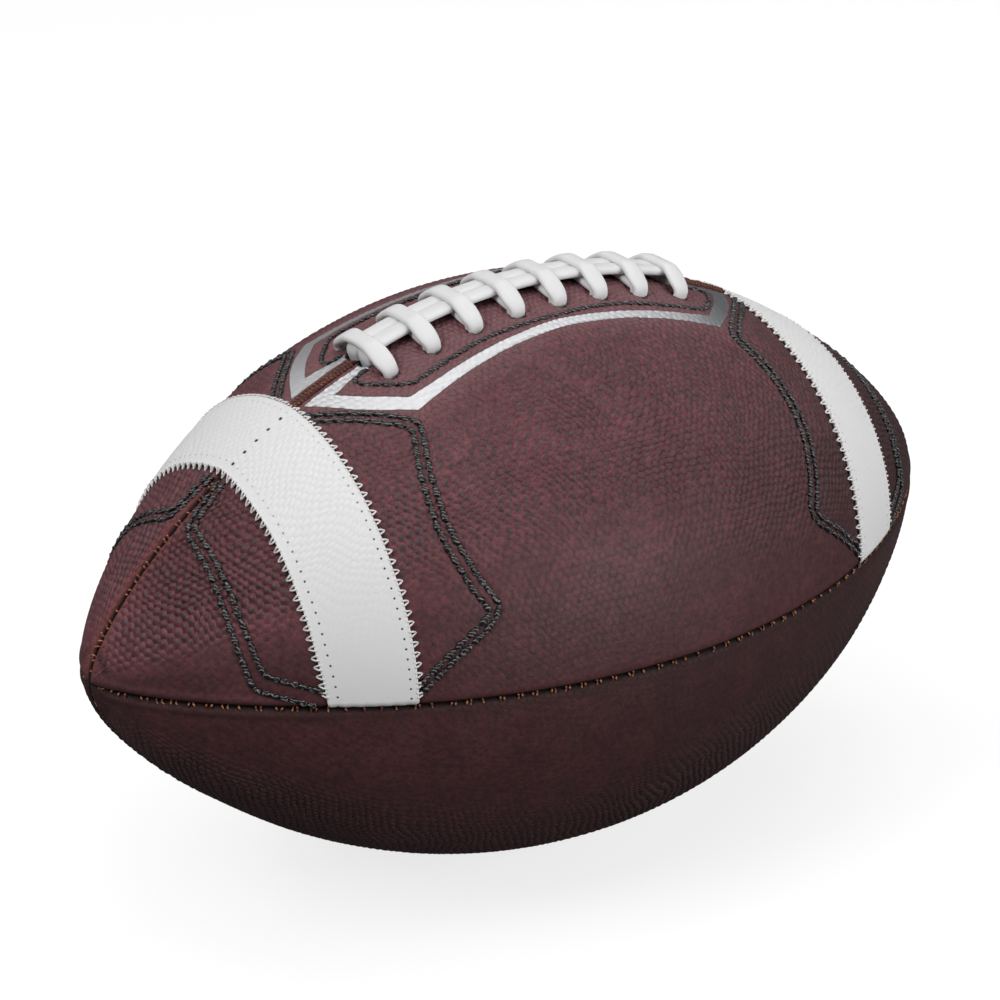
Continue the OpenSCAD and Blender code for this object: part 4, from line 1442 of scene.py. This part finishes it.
def seam_loops(seam_angle, spots, seed, reach=0.9, middle=-0.5, ends=-0.95, thick=0.55, low=0.0):
    """Paths, ups and widths of loops across a seam, one or two at each spot."""
    random = np.random.default_rng(seed)
    loops = []
    for spot in spots:
        spot = spot + random.uniform(-0.4, 0.4)
        for x in (spot - 0.55, spot + 0.5)[:random.choice((1, 2, 2, 2))]:
            slant = random.uniform(-0.3, 0.3)
            lift = random.uniform(-0.12, 0.16)
            share = np.linspace(-1, 1, 7)
            off = low + share * reach * random.uniform(0.75, 1.25)
            level = np.array([ends - 0.5, ends + 0.35, middle + 0.1, middle, middle + 0.1,
                              ends + 0.35, ends - 0.5]) + lift
            spot_x = np.clip(x + share * slant, -last_x, last_x)
            angle = seam_angle + off / outline_radius(spot_x)
            loops.append((over_angle(spot_x, angle, level), outward_at(spot_x, angle), loop_shape * thick))
    return loops


total = fine_way[-1] - nose_gap
spots = np.interp(np.arange(-total, total, loop_pitch), fine_way, fine_x)
seams = (("top", 0.0), ("right", -math.pi / 2), ("left", math.pi / 2), ("bottom", math.pi))
for number, (name, seam_angle) in enumerate(seams):
    low = 0.3 * np.sign(seam_angle) if name in ("left", "right") else 0.0
    size = {"reach": 1.15, "thick": 0.7, "middle": -0.35} if name == "top" else {"thick": 0.62}
    places = [float(x) for x in spots if name != "top" or abs(x) > stripe_end_x]
    loops = seam_loops(seam_angle, places, 10 + number, low=low, **size)
    mesh = thread_mesh("seam_thread_" + name, *zip(*loops), sides=6, plies=0.18, turns=1.0)
    link_piece(mesh, seam_thread)
    print(mesh.name, len(loops), "loops")
knots = []
for _, end in ball_ends:
    for k, x in enumerate(knot_x):
        knots += seam_loops(0.0, [end * x], 30 + k, reach=1.1, middle=0.2, ends=-0.5, thick=0.75)
mesh = thread_mesh("seam_knots", *zip(*knots), sides=8, plies=0.2, turns=1.0)
link_piece(mesh, seam_thread)
print(mesh.name, len(knots), "loops")

# %% [markdown]
# Between the lacing and each stripe the top seam is closed by a rolled strip of leather,
# the welt, and whipped over with waxed thread. Its finish is the brown of cut leather with
# pale flecks. Noise at two scales gives both, and the thread comes from the helper above.

# %% Welt finishes
welt_leather, net, shader = new_material("welt_leather", Specular_IOR_Level=0.3)
place = object_place(net)
fleck = noise(net, place, 1100, 3, 0.6)
brown = mix_colour(net, noise(net, place, 200, 2), (0.045, 0.015, 0.012), (0.095, 0.034, 0.024))
brown = mix_colour(net, smooth_range(net, fleck, 0.58, 0.72), brown, (0.42, 0.21, 0.11))
finish_shader(net, shader, brown, smooth_range(net, fleck, 0, 1, 0.5, 0.7), fleck)

whip_thread = thread_material("whip_thread", (0.065, 0.016, 0.012), (0.36, 0.115, 0.065), 0.6, twist=4.2,
                              low=0.35, high=1.1, fuzz_scale=1800)
print("welt finishes:", welt_leather.name, whip_thread.name)

# %% [markdown]
# The roll is a sheet rolled up along the seam, with small waists in a row as if thread were
# drawn tight round it. The whipping is a row of arches over it. The lower half of each turn
# is hidden in the seam, so it isn't made.

# %% Welts
welt_r = 1.55
welt_start_x = 55.6
welt_length = 20.6
welt_rise = 0.62
welt_sides = 18
welt_rows = 70
waist_pitch = 2.1
wrap_count = 18
wrap_pitch = 1.1
wrap_shape = np.array([0, 0.7, 0.8, 0.8, 0.8, 0.8, 0.8, 0.7, 0]) * 0.72


def welt_mesh(name, end):
    def place(column, row):
        x = welt_start_x + welt_length * row / welt_rows
        turn = 2 * math.pi * column / welt_sides
        radius = welt_r * (1 - 0.05 * np.cos(2 * math.pi * (x - welt_start_x) / waist_pitch) ** 2)
        radius = radius * np.where((row == 0) | (row == welt_rows), 0.8, 1.0)
        return over_leather(x, radius * np.cos(turn), welt_rise * radius * np.sin(turn)) * (end, 1, 1)
    return sheet_mesh(name, welt_sides, welt_rows, place)


def wrap_places(end, number):
    """Path, ups and widths of one turn of thread over the welt."""
    share = np.linspace(-1, 1, 9)
    x = end * (welt_start_x + 0.9 + wrap_pitch * number + 0.4 * share)
    lean = share * 1.75
    angle = 1.62 * np.sin(lean) / outline_radius(x)
    return over_angle(x, angle, -0.1 + 1.05 * np.cos(lean)), outward_at(x, angle), wrap_shape


for end_name, end in ball_ends:
    mesh = welt_mesh("welt_roll_" + end_name, end)
    link_piece(mesh, welt_leather, ("seam_welt_" + end_name,))
    wraps = [wrap_places(end, number) for number in range(wrap_count)]
    mesh = thread_mesh("welt_whipping_" + end_name, *zip(*wraps), sides=6, plies=0.2, turns=3.0)
    link_piece(mesh, whip_thread)
    print("welt", end_name, len(wraps), "wraps")

# %% [markdown]
# The inner parts stay as they are in the CAD and get finishes of their own: a woven cotton
# lining, split leather for the facings and the valve's patch, a padded tongue, and rubber
# for the bladder and the valve. They are hardly seen, so one helper for weaves and one for
# clouded surfaces are enough.

# %% Inner finishes
def cloth_like(name, dark, light, threads):
    """A plain weave: two sets of bands at a right angle."""
    made, net, shader = new_material(name, Roughness=0.9, Specular_IOR_Level=0.2)
    place = object_place(net)
    weft, warp = (add_node(net, "ShaderNodeTexWave", {"Vector": place, "Scale": threads, "Distortion": 0.6},
                           bands_direction=way).outputs["Fac"] for way in ("X", "Y"))
    weave = calc(net, "MAXIMUM", weft, warp)
    finish_shader(net, shader, mix_colour(net, weave, dark, light), None, weave, distance=0.3)
    return made


def grained(name, dark, light, scale, roughness):
    """Rubber or split leather: a cloudy tone and a fine grain."""
    made, net, shader = new_material(name, Specular_IOR_Level=0.35)
    place = object_place(net)
    cloud = noise(net, place, scale, 4, 0.6)
    rough = smooth_range(net, cloud, 0, 1, roughness - 0.08, roughness + 0.08)
    finish_shader(net, shader, mix_colour(net, cloud, dark, light), rough, cloud, strength=0.3)
    return made


lining_cloth = cloth_like("lining_cloth", (0.25, 0.20, 0.13), (0.55, 0.46, 0.33), 260)
tongue_pad = cloth_like("tongue_pad", (0.05, 0.045, 0.04), (0.12, 0.10, 0.09), 200)
facing_split = grained("facing_split", (0.11, 0.06, 0.035), (0.22, 0.13, 0.08), 500, 0.85)
bladder_rubber = grained("bladder_rubber", (0.02, 0.025, 0.03), (0.05, 0.06, 0.07), 120, 0.5)
valve_rubber = grained("valve_rubber", (0.008, 0.008, 0.008), (0.025, 0.025, 0.026), 900, 0.6)
finishes = {"lining": lining_cloth, "facing": facing_split, "tongue": tongue_pad,
            "bladder": bladder_rubber, "valve_backing": facing_split, "valve": valve_rubber}
dressed = 0
for node_name in sorted(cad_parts):
    fitting = [key for key in finishes if node_name.startswith(key)]
    if fitting:
        node = bpy.data.objects[node_name]
        for node_slot in node.material_slots:
            node_slot.material = finishes[max(fitting, key=len)]
        dressed += 1
print("CAD nodes dressed:", dressed)
